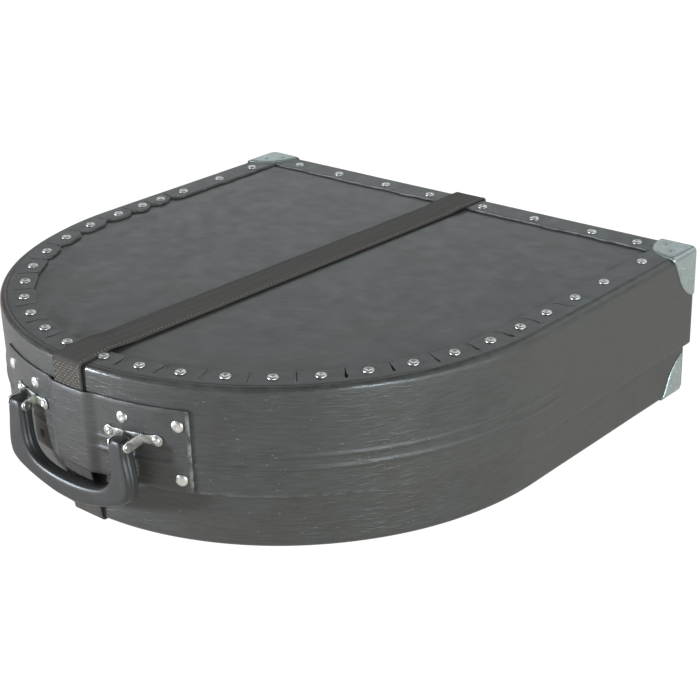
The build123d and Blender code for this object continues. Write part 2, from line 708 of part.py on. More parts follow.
# Buckle frame: two side bars, the heel bar in the strap's fold, and the bar that carries the roller
bar_y = curve_y + bar_run
frame_half = web_width / 2 + frame_side_gap
with BuildPart() as buckle_frame:
    for sign in (-1, 1):
        side_x = strap_back_x + sign * (frame_half + frame_bar / 2)
        with Locations((side_x, bar_y, heel_height + buckle_pitch / 2)):
            Box(frame_bar, frame_bar, buckle_pitch + 2 * frame_overhang)
    fillet(buckle_frame.edges().filter_by(Axis.X), frame_bar / 4)
    for height, radius in ((heel_height, heel_radius), (roller_z, roller_bar)):
        with Locations(Plane(origin=(strap_back_x, bar_y, height), z_dir=(1, 0, 0))):
            Cylinder(radius, 2 * frame_half)
buckle_frame.part.label = "buckle_frame"
export_step(buckle_frame.part, "parts/buckle_frame.step")

with BuildPart() as buckle_roller:
    with BuildSketch(Plane(origin=(strap_back_x, bar_y, roller_z), z_dir=(1, 0, 0))):
        Circle(roller_radius)
        Circle(roller_bar + roller_gap, mode=Mode.SUBTRACT)
    extrude(amount=frame_half - roller_end_gap, both=True)
buckle_roller.part.label = "buckle_roller"
export_step(buckle_roller.part, "parts/buckle_roller.step")

# Tongue: an eye on the heel bar and a prong that rests on the roller
eye_inner = heel_radius + roller_gap
with BuildPart() as buckle_tongue:
    with BuildSketch(cross_plane(strap_back_x)) as side_view:
        with Locations((bar_run, heel_height)):
            Circle(eye_inner + tongue_eye)
        with BuildLine():
            rest = bar_run + roller_radius + tongue_seat + tongue_thickness / 2
            Polyline((bar_run + eye_inner, heel_height + eye_inner), (rest, roller_z - roller_radius),
                     (rest, roller_z + tongue_overhang))
        trace(line_width=tongue_thickness)
        with Locations((bar_run, heel_height)):
            Circle(eye_inner, mode=Mode.SUBTRACT)
    extrude(amount=tongue_width / 2, both=True)
buckle_tongue.part.label = "buckle_tongue"
export_step(buckle_tongue.part, "parts/buckle_tongue.step")
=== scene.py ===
import math
import random
from functools import partial

import bmesh
import bpy
import numpy as np
from mathutils import Matrix, Vector, noise


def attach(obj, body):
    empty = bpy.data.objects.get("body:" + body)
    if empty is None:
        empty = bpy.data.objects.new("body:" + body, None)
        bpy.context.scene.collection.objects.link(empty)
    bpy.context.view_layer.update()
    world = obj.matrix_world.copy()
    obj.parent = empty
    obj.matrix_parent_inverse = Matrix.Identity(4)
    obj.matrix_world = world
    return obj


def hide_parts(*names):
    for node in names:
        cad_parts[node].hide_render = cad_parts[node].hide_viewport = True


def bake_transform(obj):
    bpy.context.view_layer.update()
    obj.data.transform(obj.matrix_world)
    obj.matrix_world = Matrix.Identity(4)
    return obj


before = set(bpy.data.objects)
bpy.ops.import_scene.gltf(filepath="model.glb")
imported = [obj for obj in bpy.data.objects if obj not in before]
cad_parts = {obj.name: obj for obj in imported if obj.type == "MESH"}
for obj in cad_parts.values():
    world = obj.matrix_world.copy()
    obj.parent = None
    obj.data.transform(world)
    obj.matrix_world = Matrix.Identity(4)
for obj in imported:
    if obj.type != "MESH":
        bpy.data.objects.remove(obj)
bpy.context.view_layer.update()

case = {
    "curveY": 15.6914,       # centre of the front curve
    "radius": 300.0,         # of the lid's outer face at the front
    "side": 280.0,           # from the curve's centre to the lid's back
    "fibre": 2.5,            # thickness
    "underside": 2.4,        # height of the base's lower face
    "lidEdge": 56.4,
    "lidTop": 161.4,
    "baseInset": 7.0,        # from the lid's outer face to the base's
    "baseRim": 155.8,
    "flange": 36.0,          # width of the folded edges
    "rivetInset": 24.0,
    "rivetPitch": 42.0,
    "rivetHead": 5.2,        # radius of a panel rivet's head
    "strapGap": 2.0,         # between the strap's edge and the nearest head
}
strap = {
    "width": 38.0,
    "thick": 1.8,
    "frontX": -9.0,
    "backX": 9.5,
    "front": 302.4,          # radius of its middle layer over the front wall
    "lidTop": 162.4,
    "lidBack": 281.6,        # from the curve's centre to its run down the lid
    "tail": 291.9,           # the same for the free end outside the buckle
    "tailZ": 32.0,
    "under": 1.4,            # height of its run below the base
    "baseBack": 283.4,
    "heel": 286.6,           # the buckle's heel bar, which the lower length folds round
    "heelZ": 104.0,
    "heelTurn": 3.2,
}
curveY, caseRadius, caseSide = case["curveY"], case["radius"], case["side"]
halfWeb, halfThick = strap["width"] / 2, strap["thick"] / 2
dice = random.Random(7)


# small tools for nodes, meshes and placing

def toLinear(hexColour):
    channels = [int(hexColour[i:i + 2], 16) / 255 for i in (1, 3, 5)]
    return tuple(c / 12.92 if c <= 0.04045 else ((c + 0.055) / 1.055) ** 2.4 for c in channels) + (1.0,)


def addNode(tree, kind, stops=(), **given):
    # Adds a node. Names in small letters are properties, i0, i1 and so on are inputs by number, and the rest
    # are inputs by name. A node given to an input stands for its first output, and stops are those of a ramp.
    node = tree.nodes.new("ShaderNode" + kind)
    for key, value in given.items():
        if isinstance(value, bpy.types.Node):
            value = value.outputs[0]
        elif isinstance(value, str) and value.startswith("#"):
            value = toLinear(value)
        if hasattr(node, key):
            setattr(node, key, value)
            continue
        socket = node.inputs[int(key[1:]) if key[1:].isdigit() else key.replace("_", " ")]
        if isinstance(value, bpy.types.NodeSocket):
            tree.links.new(value, socket)
        else:
            socket.default_value = value
    if stops:
        elements = node.color_ramp.elements
        elements[0].position, elements[1].position = stops[0][0], stops[-1][0]
        for place, _ in stops[1:-1]:
            elements.new(place)
        for element, (_, colour) in zip(elements, stops):
            element.color = toLinear(colour) if isinstance(colour, str) else (colour, colour, colour, 1)
    return node


def startTree(owner):
    # empties the node tree of a material or a world, and gives what adds nodes to it
    owner.use_nodes = True
    owner.node_tree.nodes.clear()
    return partial(addNode, owner.node_tree)


def startMaterial(name):
    # also gives the object's own coordinates, which are in metres
    material = bpy.data.materials.new(name)
    add = startTree(material)
    return material, add, add("TexCoord").outputs["Object"]


def endMaterial(add, **surface):
    add("OutputMaterial", Surface=add("BsdfPrincipled", **surface))


def smooth(low, high, value):
    t = np.clip((np.asarray(value, float) - low) / (high - low), 0, 1)
    return t * t * (3 - 2 * t)


def bead(distance, half):
    # a rolled ridge's height at a distance from its middle: 1 there and 0 from half its width on
    return 0.5 + 0.5 * math.cos(math.pi * distance / half) if distance < half else 0.0


def noiseAt(x, y, z, size, seed=0.0):
    return noise.noise(Vector((x / size + seed, y / size - seed, z / size + 0.5 * seed)))


def onCurve(radius, angle, z):
    # a point at a radius and an angle round the front curve; 0 is the front, right is positive
    return (radius * math.sin(angle), curveY - radius * math.cos(angle), z)


def gridFaces(rows, columns, wrapRows=False, wrapColumns=True, start=0):
    # quads over a grid whose points are numbered row by row
    faces = []
    for r in range(rows if wrapRows else rows - 1):
        for c in range(columns if wrapColumns else columns - 1):
            nextRow, nextColumn = (r + 1) % rows, (c + 1) % columns
            faces.append((start + r * columns + c, start + r * columns + nextColumn,
                          start + nextRow * columns + nextColumn, start + nextRow * columns + c))
    return faces


def fanFaces(start, count, middle):
    # triangles from a ring of points to a middle one
    return [(start + k, start + (k + 1) % count, middle) for k in range(count)]


def turnOutward(mesh, weld):
    # makes the faces of a closed mesh point out; points within the weld distance are joined first
    shape = bmesh.new()
    shape.from_mesh(mesh)
    if weld:
        bmesh.ops.remove_doubles(shape, verts=shape.verts[:], dist=weld)
        bmesh.ops.dissolve_degenerate(shape, dist=weld / 2, edges=shape.edges[:])
    bmesh.ops.recalc_face_normals(shape, faces=shape.faces[:])
    shape.to_mesh(mesh)
    shape.free()
    mesh.update()


def makePiece(name, points, faces, material, body, replaces=(), attributes=None, closed=True, weld=0.0):
    mesh = bpy.data.meshes.new(name)
    mesh.from_pydata([tuple(float(c) / 1000 for c in p) for p in points], [], [tuple(f) for f in faces])
    for key, values in (attributes or {}).items():
        values = np.asarray(values, np.float32)
        kind, field = ("FLOAT_VECTOR", "vector") if values.ndim == 2 else ("FLOAT", "value")
        mesh.attributes.new(key, kind, "POINT").data.foreach_set(field, values.ravel())
    mesh.validate()
    mesh.update()
    mesh.shade_smooth()
    mesh.materials.append(material)
    if closed:
        turnOutward(mesh, weld)
    piece = bpy.data.objects.new(name, mesh)
    bpy.context.scene.collection.objects.link(piece)
    if body:
        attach(piece, body)
    if replaces:
        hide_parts(*replaces)
    return piece


# materials

def makeFibre():
    # Vulcanised fibre: cotton paper gelled and calendered into a hard black board. It shows a satin face with
    # fine pressed grain, streaks and short wrinkles along the strip, a few pale specks, and greyer rubbed
    # edges. The same pale colour also paints highlights on some lit edges.
    finish = {"base": "#3d3d3b", "pale": "#434442", "warm": "#43413d", "wornAndLit": "#7f7f7b", "cloudMm": 90.0,
              "grainMm": 0.9, "streakMm": 1.6, "wrinkleMm": 0.6, "ridgeMm": 2.8, "speckMm": 3.4,
              "speckAreaMm": 26.0, "patchMm": 9.0, "polish": -0.24}
    material, add, place = startMaterial("vulcanisedFibreCalendered")
    cloud = add("TexNoise", Vector=place, Scale=1000 / finish["cloudMm"], Detail=4.0, Roughness=0.6)
    grain = add("TexNoise", Vector=place, Scale=1000 / finish["grainMm"], Detail=3.0, Roughness=0.55)
    along = add("Mapping", Vector=place, Scale=(0.09, 0.09, 1.0))
    streak = add("TexNoise", Vector=along, Scale=1000 / finish["streakMm"], Detail=3.0, Roughness=0.6)
    tone = add("ValToRGB", [(0.32, finish["base"]), (0.5, finish["pale"]), (0.68, finish["warm"])],
                   Fac=cloud)
    streakTone = add("ValToRGB", [(0.35, "#000000"), (0.72, "#ffffff")], Fac=streak)
    streaked = add("Mix", data_type="RGBA", blend_type="OVERLAY", Factor=0.18, i6=tone, i7=streakTone)

    scuff = add("Attribute", attribute_name="scuff").outputs["Fac"]
    along = add("Mapping", Vector=place, Scale=(0.4, 0.4, 1.0))
    speck = add("TexVoronoi", feature="F1", Vector=along, Scale=1000 / finish["speckMm"])
    speck = add("ValToRGB", [(0.07, 1.0), (0.16, 0.0)], Fac=speck)
    area = add("TexNoise", Vector=place, Scale=1000 / finish["speckAreaMm"], Detail=2.0)
    area = add("ValToRGB", [(0.48, 0.0), (0.6, 0.85)], Fac=area)
    area = add("Math", operation="MULTIPLY", i0=scuff, i1=area)
    specks = add("Math", operation="MULTIPLY", i0=speck, i1=area)
    # the pale edge marks are rubbed wear, and on the slits' lips and the handle plate's right end a painted
    # highlight
    wearAndHighlight = add("Attribute", attribute_name="wearAndHighlight").outputs["Fac"]
    patches = add("TexNoise", Vector=place, Scale=1000 / finish["patchMm"], Detail=5.0)
    patches = add("ValToRGB", [(0.38, 0.0), (0.62, 1.0)], Fac=patches)
    paleEdges = add("Math", operation="MULTIPLY", use_clamp=True, i0=wearAndHighlight, i1=patches)
    marks = add("Math", operation="ADD", use_clamp=True, i0=paleEdges, i1=specks)
    colour = add("Mix", data_type="RGBA", Factor=marks, i6=streaked.outputs[2], i7=finish["wornAndLit"])

    rough = add("MapRange", Value=streak, i1=0.3, i2=0.7, i3=0.4, i4=0.5)
    polish = add("Attribute", attribute_name="polish").outputs["Fac"]
    rough = add("Math", operation="MULTIPLY_ADD", i0=polish, i1=finish["polish"], i2=rough)

    bump = add("Bump", Strength=0.22, Distance=0.0002, Height=grain)
    bump = add("Bump", Strength=0.35, Distance=0.0004, Height=streak, Normal=bump)
    along = add("Mapping", Vector=place, Scale=(0.07, 0.07, 1.0))
    wrinkle = add("TexNoise", Vector=along, Scale=1000 / finish["wrinkleMm"], Detail=2.0)
    bump = add("Bump", Strength=0.6, Distance=0.0003, Height=wrinkle, Normal=bump)
    along = add("Mapping", Vector=place, Scale=(0.16, 0.16, 1.0))
    ridge = add("TexNoise", Vector=along, Scale=1000 / finish["ridgeMm"], Detail=2.0)
    ridge = add("ValToRGB", [(0.55, 0.0), (0.74, 1.0)], Fac=ridge)
    ridge = add("Math", operation="MULTIPLY", i0=ridge, i1=scuff)
    bump = add("Bump", Strength=0.5, Distance=0.0006, Height=ridge, Normal=bump)
    bump = add("Bump", Strength=0.12, Distance=0.003, Height=cloud, Normal=bump)
    endMaterial(add, Base_Color=colour.outputs[2], Roughness=rough, Normal=bump, IOR=1.52,
                Specular_IOR_Level=0.5)
    return material


def makePlatedSteel(name, colours, roughness, scratchMm, spotMm, bump, metallic=1.0, pitMm=9.0):
    # Sheet steel, plated or dipped: fine scratches, cloudy duller spots and a few dark pits. Bright nickel is
    # all metal. A zinc coat that has gone dull, or a black one, is partly oxide, so it is partly metallic.
    material, add, place = startMaterial(name)
    cloud = add("TexNoise", Vector=place, Scale=1000 / spotMm, Detail=5.0, Roughness=0.65)
    tone = add("ValToRGB", list(zip((0.3, 0.55, 0.75), colours)), Fac=cloud)
    pit = add("TexVoronoi", Vector=place, Scale=1000 / pitMm)
    pit = add("ValToRGB", [(0.06, 0.55), (0.12, 0.0)], Fac=pit)
    tone = add("Mix", data_type="RGBA", Factor=pit, i6=tone, i7="#4e5252")
    along = add("Mapping", Vector=place, Rotation=(0.3, 0.5, 0.7), Scale=(1.0, 0.06, 0.12))
    scratch = add("TexNoise", Vector=along, Scale=1000 / scratchMm, Detail=4.0)
    rough = add("MapRange", Value=scratch, i1=0.3, i2=0.7, i3=roughness[0], i4=roughness[1])
    scratched = add("Bump", Strength=bump, Distance=0.0001, Height=scratch)
    clouded = add("Bump", Strength=bump, Distance=0.0004, Height=cloud, Normal=scratched)
    endMaterial(add, Base_Color=tone.outputs[2], Roughness=rough, Normal=clouded, Metallic=metallic)
    return material


def makeWebbing():
    # Cotton webbing, woven and dyed, faded with use: ribs of warp along it, picks of weft across, matte with
    # a little fuzz. The real threads are about 0.9 mm apart; they are drawn wider apart so that they show.
    finish = {"thread": "#58534f", "shade": "#44403c", "fade": "#605a56", "bands": "#4a4642", "ribMm": 1.5,
              "pickMm": 1.2, "fuzzPerMm": 1.1, "bandPerMm": 0.22}
    material, add, _ = startMaterial("cottonWebbingWoven")
    cloth = add("Attribute", attribute_name="cloth").outputs["Vector"]
    split = add("SeparateXYZ", Vector=cloth)
    waves = []
    for output, spacing in ((0, finish["ribMm"]), (1, finish["pickMm"])):
        turn = add("Math", operation="MULTIPLY", i0=split.outputs[output], i1=math.pi / spacing)
        waves.append(add("Math", operation="SINE", i0=turn))
    weave = add("Math", operation="MULTIPLY", i0=waves[0], i1=waves[1])
    weave = add("MapRange", Value=weave, i1=-1.0, i2=1.0, i3=0.0, i4=1.0)
    fuzz = add("TexNoise", Vector=cloth, Scale=finish["fuzzPerMm"], Detail=4.0, Roughness=0.7)
    lengthwise = add("Mapping", Vector=cloth, Scale=(1.0, 0.04, 1.0))
    bands = add("TexNoise", Vector=lengthwise, Scale=finish["bandPerMm"], Detail=3.0)
    bands = add("ValToRGB", [(0.38, 0.0), (0.62, 1.0)], Fac=bands)
    # the dips between threads are painted darker as shade
    thread = add("ValToRGB", [(0.15, finish["shade"]), (0.6, finish["thread"]), (0.95, finish["fade"])],
                     Fac=weave)
    fuzzed = add("Mix", data_type="RGBA", blend_type="OVERLAY", Factor=0.3, i6=thread, i7=fuzz)
    faded = add("Mix", data_type="RGBA", Factor=bands, i6=fuzzed.outputs[2], i7=finish["bands"])
    bump = add("Bump", Strength=0.4, Distance=0.0002, Height=weave)
    bump = add("Bump", Strength=0.35, Distance=0.0002, Height=fuzz, Normal=bump)
    endMaterial(add, Base_Color=faded.outputs[2], Normal=bump, Roughness=0.95, IOR=1.35, Sheen_Weight=0.05,
                Sheen_Roughness=0.5)
    return material


def makeThread(name, colours, strandMm=0.7):
    # Waxed cotton thread, twisted: short strands across each stitch.
    material, add, place = startMaterial(name)
    twist = add("TexNoise", Vector=place, Scale=1000 / strandMm, Detail=2.0)
    tone = add("ValToRGB", [(0.3, colours[0]), (0.7, colours[1])], Fac=twist)
    bump = add("Bump", Strength=0.5, Distance=0.0002, Height=twist)
    endMaterial(add, Base_Color=tone, Normal=bump, Roughness=0.6, Sheen_Weight=0.2)
    return material


def makeHandlePlastic():
    # ABS, injection moulded and rubbed by hands: even grey-black with a soft sheen and a faint orange peel.
    finish = {"dark": "#2b2c2c", "light": "#333434", "cloudMm": 28.0, "peelMm": 1.4}
    material, add, place = startMaterial("absMoulded")
    cloud = add("TexNoise", Vector=place, Scale=1000 / finish["cloudMm"], Detail=4.0)
    tone = add("ValToRGB", [(0.35, finish["dark"]), (0.65, finish["light"])], Fac=cloud)
    rough = add("MapRange", Value=cloud, i1=0.3, i2=0.7, i3=0.36, i4=0.48)
    peel = add("TexNoise", Vector=place, Scale=1000 / finish["peelMm"], Detail=3.0)
    bump = add("Bump", Strength=0.15, Distance=0.0003, Height=peel)
    endMaterial(add, Base_Color=tone, Roughness=rough, Normal=bump, IOR=1.5)
    return material


def makeFoam():
    # Polyether foam, cut from a block: dull charcoal with open cells, their hollows painted darker as shade.
    finish = {"deep": "#1b1b1d", "skin": "#3a3a3d", "cellMm": 1.8, "cloudMm": 60.0}
    material, add, place = startMaterial("polyetherFoamCut")
    cells = add("TexVoronoi", Vector=place, Scale=1000 / finish["cellMm"])
    # the deep colour in each cell's hollow is painted shade
    tone = add("ValToRGB", [(0.1, finish["deep"]), (0.5, finish["skin"])], Fac=cells)
    cloud = add("TexNoise", Vector=place, Scale=1000 / finish["cloudMm"], Detail=4.0)
    mixed = add("Mix", data_type="RGBA", blend_type="OVERLAY", Factor=0.4, i6=tone, i7=cloud)
    bump = add("Bump", Strength=0.8, Distance=0.0008, Height=cells)
    endMaterial(add, Base_Color=mixed.outputs[2], Normal=bump, Roughness=0.95, IOR=1.4, Sheen_Weight=0.2)
    return material


def makeLeatherboard():
    # Leatherboard, rolled and dyed: near black, low sheen, with creases across the loop.
    finish = {"dark": "#1d1b19", "light": "#2d2a27", "creaseMm": 2.2, "cloudMm": 9.0}
    material, add, place = startMaterial("leatherboardDyed")
    crease = add("TexVoronoi", feature="DISTANCE_TO_EDGE", Vector=place, Scale=1000 / finish["creaseMm"])
    cloud = add("TexNoise", Vector=place, Scale=1000 / finish["cloudMm"], Detail=4.0)
    tone = add("ValToRGB", [(0.3, finish["dark"]), (0.7, finish["light"])], Fac=cloud)
    rough = add("MapRange", Value=cloud, i1=0.3, i2=0.7, i3=0.45, i4=0.62)
    bump = add("Bump", Strength=0.4, Distance=0.0003, Height=crease.outputs["Distance"])
    endMaterial(add, Base_Color=tone, Roughness=rough, Normal=bump, IOR=1.48)
    return material


fibre = makeFibre()
rivetNickel = makePlatedSteel("nickelPlatedRivetStamped", ("#c3c5c4", "#dcdddb", "#e8e8e5"), (0.32, 0.46),
                              scratchMm=0.8, spotMm=3.0, bump=0.15)
rivetBlack = makePlatedSteel("blackOxideSteelStamped", ("#3b3a39", "#41403e", "#484745"), (0.5, 0.65),
                             scratchMm=0.8, spotMm=3.0, bump=0.15, metallic=0.15)
cornerZinc = makePlatedSteel("zincSteelPressed", ("#96a1a0", "#a0aaa8", "#a8afad"), (0.3, 0.46),
                             scratchMm=1.2, spotMm=9.0, bump=0.25, metallic=0.6)
bracketNickel = makePlatedSteel("nickelSteelPressed", ("#a9aaa8", "#cfd0cc", "#e0e0dc"), (0.34, 0.55),
                                scratchMm=0.9, spotMm=5.0, bump=0.25)
buckleNickel = makePlatedSteel("nickelWireDrawn", ("#9a9b99", "#c4c4c0", "#d8d7d2"), (0.16, 0.32),
                               scratchMm=0.8, spotMm=6.0, bump=0.2)
webbing = makeWebbing()
paleThread = makeThread("cottonThreadPale", ("#7f7a68", "#a39d88"))
darkThread = makeThread("cottonThreadDark", ("#1c1a18", "#2a2725"))
sewingThread = makeThread("cottonThreadOlive", ("#5a564a", "#6b6658"))
handlePlastic = makeHandlePlastic()
foam = makeFoam()
leatherboard = makeLeatherboard()
print("materials ready")


# fibre shells

def rivetAngles(circle):
    # the front curve's rivets, even on each side of the strap
    strapTurn = strap["frontX"] / circle
    clearTurn = (halfWeb + case["rivetHead"] + case["strapGap"]) / circle
    angles = []
    for start, end in ((strapTurn - clearTurn, -math.pi / 2), (strapTurn + clearTurn, math.pi / 2)):
        steps = round(abs(end - start) * circle / case["rivetPitch"])
        angles += [start + (end - start) * k / steps for k in range(steps + 1)]
    return sorted(angles)


class Outline:
    # Columns of points round the D. Each has the part of the outline that it is on, its place there, its
    # sideways shift, its slit (-1 for none), its role (0 plain, 1 a slit's lip, 2 its wall) and its side of
    # the slit.
    front, right, cornerRight, back, cornerLeft, left = range(6)
    lengths = {front: caseRadius, right: caseSide, back: caseRadius, left: caseSide}
    clear, tabReach = 4.4, 15.0  # no plain column is nearer to a slit; how far a tab's rounding reaches
    slitColumns = ((-3.0, 0, -1), (-1.5, 0, -1), (0.0, 1, -1), (0.0, 2, -1), (0.0, 2, 1), (0.0, 1, 1),
                   (1.5, 0, 1), (3.0, 0, 1))

    def __init__(self, angles, sideSlits=()):
        slits = [(self.front, (a + b) / 2) for a, b in zip(angles, angles[1:])] + list(sideSlits)
        columns = []
        for part, start, end, step in (
                (self.front, -math.pi / 2, math.pi / 2, 2.9 / caseRadius),
                (self.right, 0.0, 1.0, 4.2 / caseSide), (self.cornerRight, 0.0, 1.0, 0.14),
                (self.back, 1.0, -1.0, 6.0 / caseRadius), (self.cornerLeft, 0.0, 1.0, 0.14),
                (self.left, 1.0, 0.0, 4.2 / caseSide)):
            count = max(2, round(abs(end - start) / step))
            mine = [(n, place) for n, (slitPart, place) in enumerate(slits) if slitPart == part]
            run = []
            for k in range(count):
                place = start + (end - start) * k / count
                if all(abs(place - p) * self.lengths[part] > self.clear for _, p in mine):
                    run.append((part, place, 0.0, -1, 0, 0))
            for n, place in mine:
                run += [(part, place, shift, n, role, hand) for shift, role, hand in self.slitColumns]
            columns += sorted(run, key=lambda c: c[1] * (1 if end > start else -1))
        self.part, self.place, self.shift, self.slit, self.role, self.hand = map(np.array, zip(*columns))
        self.count = len(columns)
        self.slits = [{"wide": dice.uniform(0.3, 1.2), "skew": dice.uniform(-1.6, 1.6),
                       "start": dice.uniform(-1.0, 1.5),
                       "lift": (dice.uniform(0.05, 0.6), dice.uniform(0.05, 0.6)),
                       "bite": dice.uniform(-1.2, 1.2)} for _ in slits]
        # how near each column is to a slit, along the outline: 1 at the slit and 0 out of its reach
        quarter = caseRadius * math.pi / 2
        runs = {self.front: (0.0, caseRadius), self.right: (quarter, caseSide),
                self.left: (-quarter, -caseSide)}
        cuts = np.array([runs[part][0] + runs[part][1] * place for part, place in slits])
        self.tabRound = np.zeros(self.count)
        for n in range(self.count):
            if self.part[n] in runs and len(cuts):
                start, scale = runs[self.part[n]]
                near = np.abs(cuts - start - scale * self.place[n]).min()
                self.tabRound[n] = max(0.0, 1 - (near + abs(self.shift[n])) / self.tabReach) ** 1.6

    def ofSlit(self, key):
        # each column's value of its slit, or 0
        return np.array([self.slits[s][key] if s >= 0 else 0.0 for s in self.slit])

    def plan(self, inset, corner, sideways=0.0):
        # points of the outline at an inset from the lid's outer face, and the way along it
        inset = np.broadcast_to(np.asarray(inset, float), (self.count,))
        r = caseRadius - inset
        c = np.maximum(corner - inset, 0.4)
        depth = caseSide - inset
        x, y, tx, ty = (np.zeros(self.count) for _ in range(4))
        p = self.place
        on = self.part == self.front
        tx[on], ty[on] = np.cos(p[on]), np.sin(p[on])
        x[on], y[on] = r[on] * ty[on], -r[on] * tx[on]
        for part, side in ((self.right, 1), (self.left, -1)):
            on = self.part == part
            x[on], y[on], tx[on], ty[on] = side * r[on], p[on] * (depth - c)[on], 0, side
        for part, side, start in ((self.cornerRight, 1, 0.0), (self.cornerLeft, -1, math.pi / 2)):
            on = self.part == part
            a = start + p[on] * math.pi / 2
            x[on], y[on] = side * (r - c)[on] + c[on] * np.cos(a), (depth - c)[on] + c[on] * np.sin(a)
            tx[on], ty[on] = -np.sin(a), np.cos(a)
        on = self.part == self.back
        x[on], y[on], tx[on], ty[on] = p[on] * (r - c)[on], depth[on], -1, 0
        return x + tx * sideways, y + ty * sideways, tx, ty


rolled = {"rise": 1.2, "half": 3.6, "clear": 4.6}  # a bead, and how far from it the wide rows stop
# a slit's width at each inset, from its start to the flange's edge
slotShape = {"inset": [12.8, 13.2, 15.5, 18, 21, 24, 27, 30, 33, 36],
             "wide": [0.1, 0.9, 2.4, 2.6, 1.7, 0.8, 0.3, 0.12, 0.1, 0.1]}


def aroundBeads(heights, beads, reach, step):
    # rows close together over each bead in place of the wide ones
    for centre in beads:
        heights = [h for h in heights if abs(h - centre) > rolled["clear"]]
        heights += [centre + d * step for d in range(-reach, reach + 1)]
    return sorted(heights)


def shellRows(spec, tall):
    # the wall's profile from its rim over the bend to the flange and back inside. Each row has its inset, its
    # height from the rim, its zone and how much it is rubbed; in the bend the first two are the turned angle.
    bend, flange, thick = spec["bend"], case["flange"], case["fibre"]
    rows = [(thick - 0.4, 0.0, "wall", 0.7), (1.2, 0.0, "wall", 0.9), (0.4, 0.25, "wall", 1.0),
            (0.0, 0.9, "wall", 0.5)]
    rows += [(0.0, h, "wall", 0.0)
             for h in aroundBeads(np.linspace(4.0, tall - bend - 4.5, 22), spec["beads"], 5, 0.8)]
    rows += [(a, a, "bend", 0.1 * math.sin(a)) for a in np.linspace(0.0, math.pi / 2, 9)]
    rows += [(bend + w, tall, "flange", 0.0) for w in (0.6, 1.1, 1.6, 2.1, 2.7, 4.0)]
    rows += [(w, tall, "flange", 0.0)
             for w in (11.4, 12.6, 13.2, 14.0, 15.5, 18.0, 21.0, 24.0, 27.0, 30.0, 33.0, 35.0, 35.7)]
    rows += [(flange, tall - 0.35, "flange", 0.3), (flange, tall - thick + 0.4, "under", 0.6),
             (flange - 0.4, tall - thick, "under", 0.2)]
    rows += [(w, tall - thick, "under", 0.0) for w in (30.0, 20.0, 12.0, 7.0)]
    inner = max(bend - thick, 0.8)
    rows += [(thick + inner * (1 - math.sin(a)), tall - thick - inner * (1 - math.cos(a)), "inner", 0.0)
             for a in np.linspace(0.0, math.pi / 2, 4)]
    rows += [(thick, h, "inner", 0.0)
             for h in reversed(aroundBeads(np.linspace(tall - bend - 8.0, 6.0, 9), spec["beads"], 2, 1.6))]
    return rows + [(thick, 0.5, "inner", 0.7)]


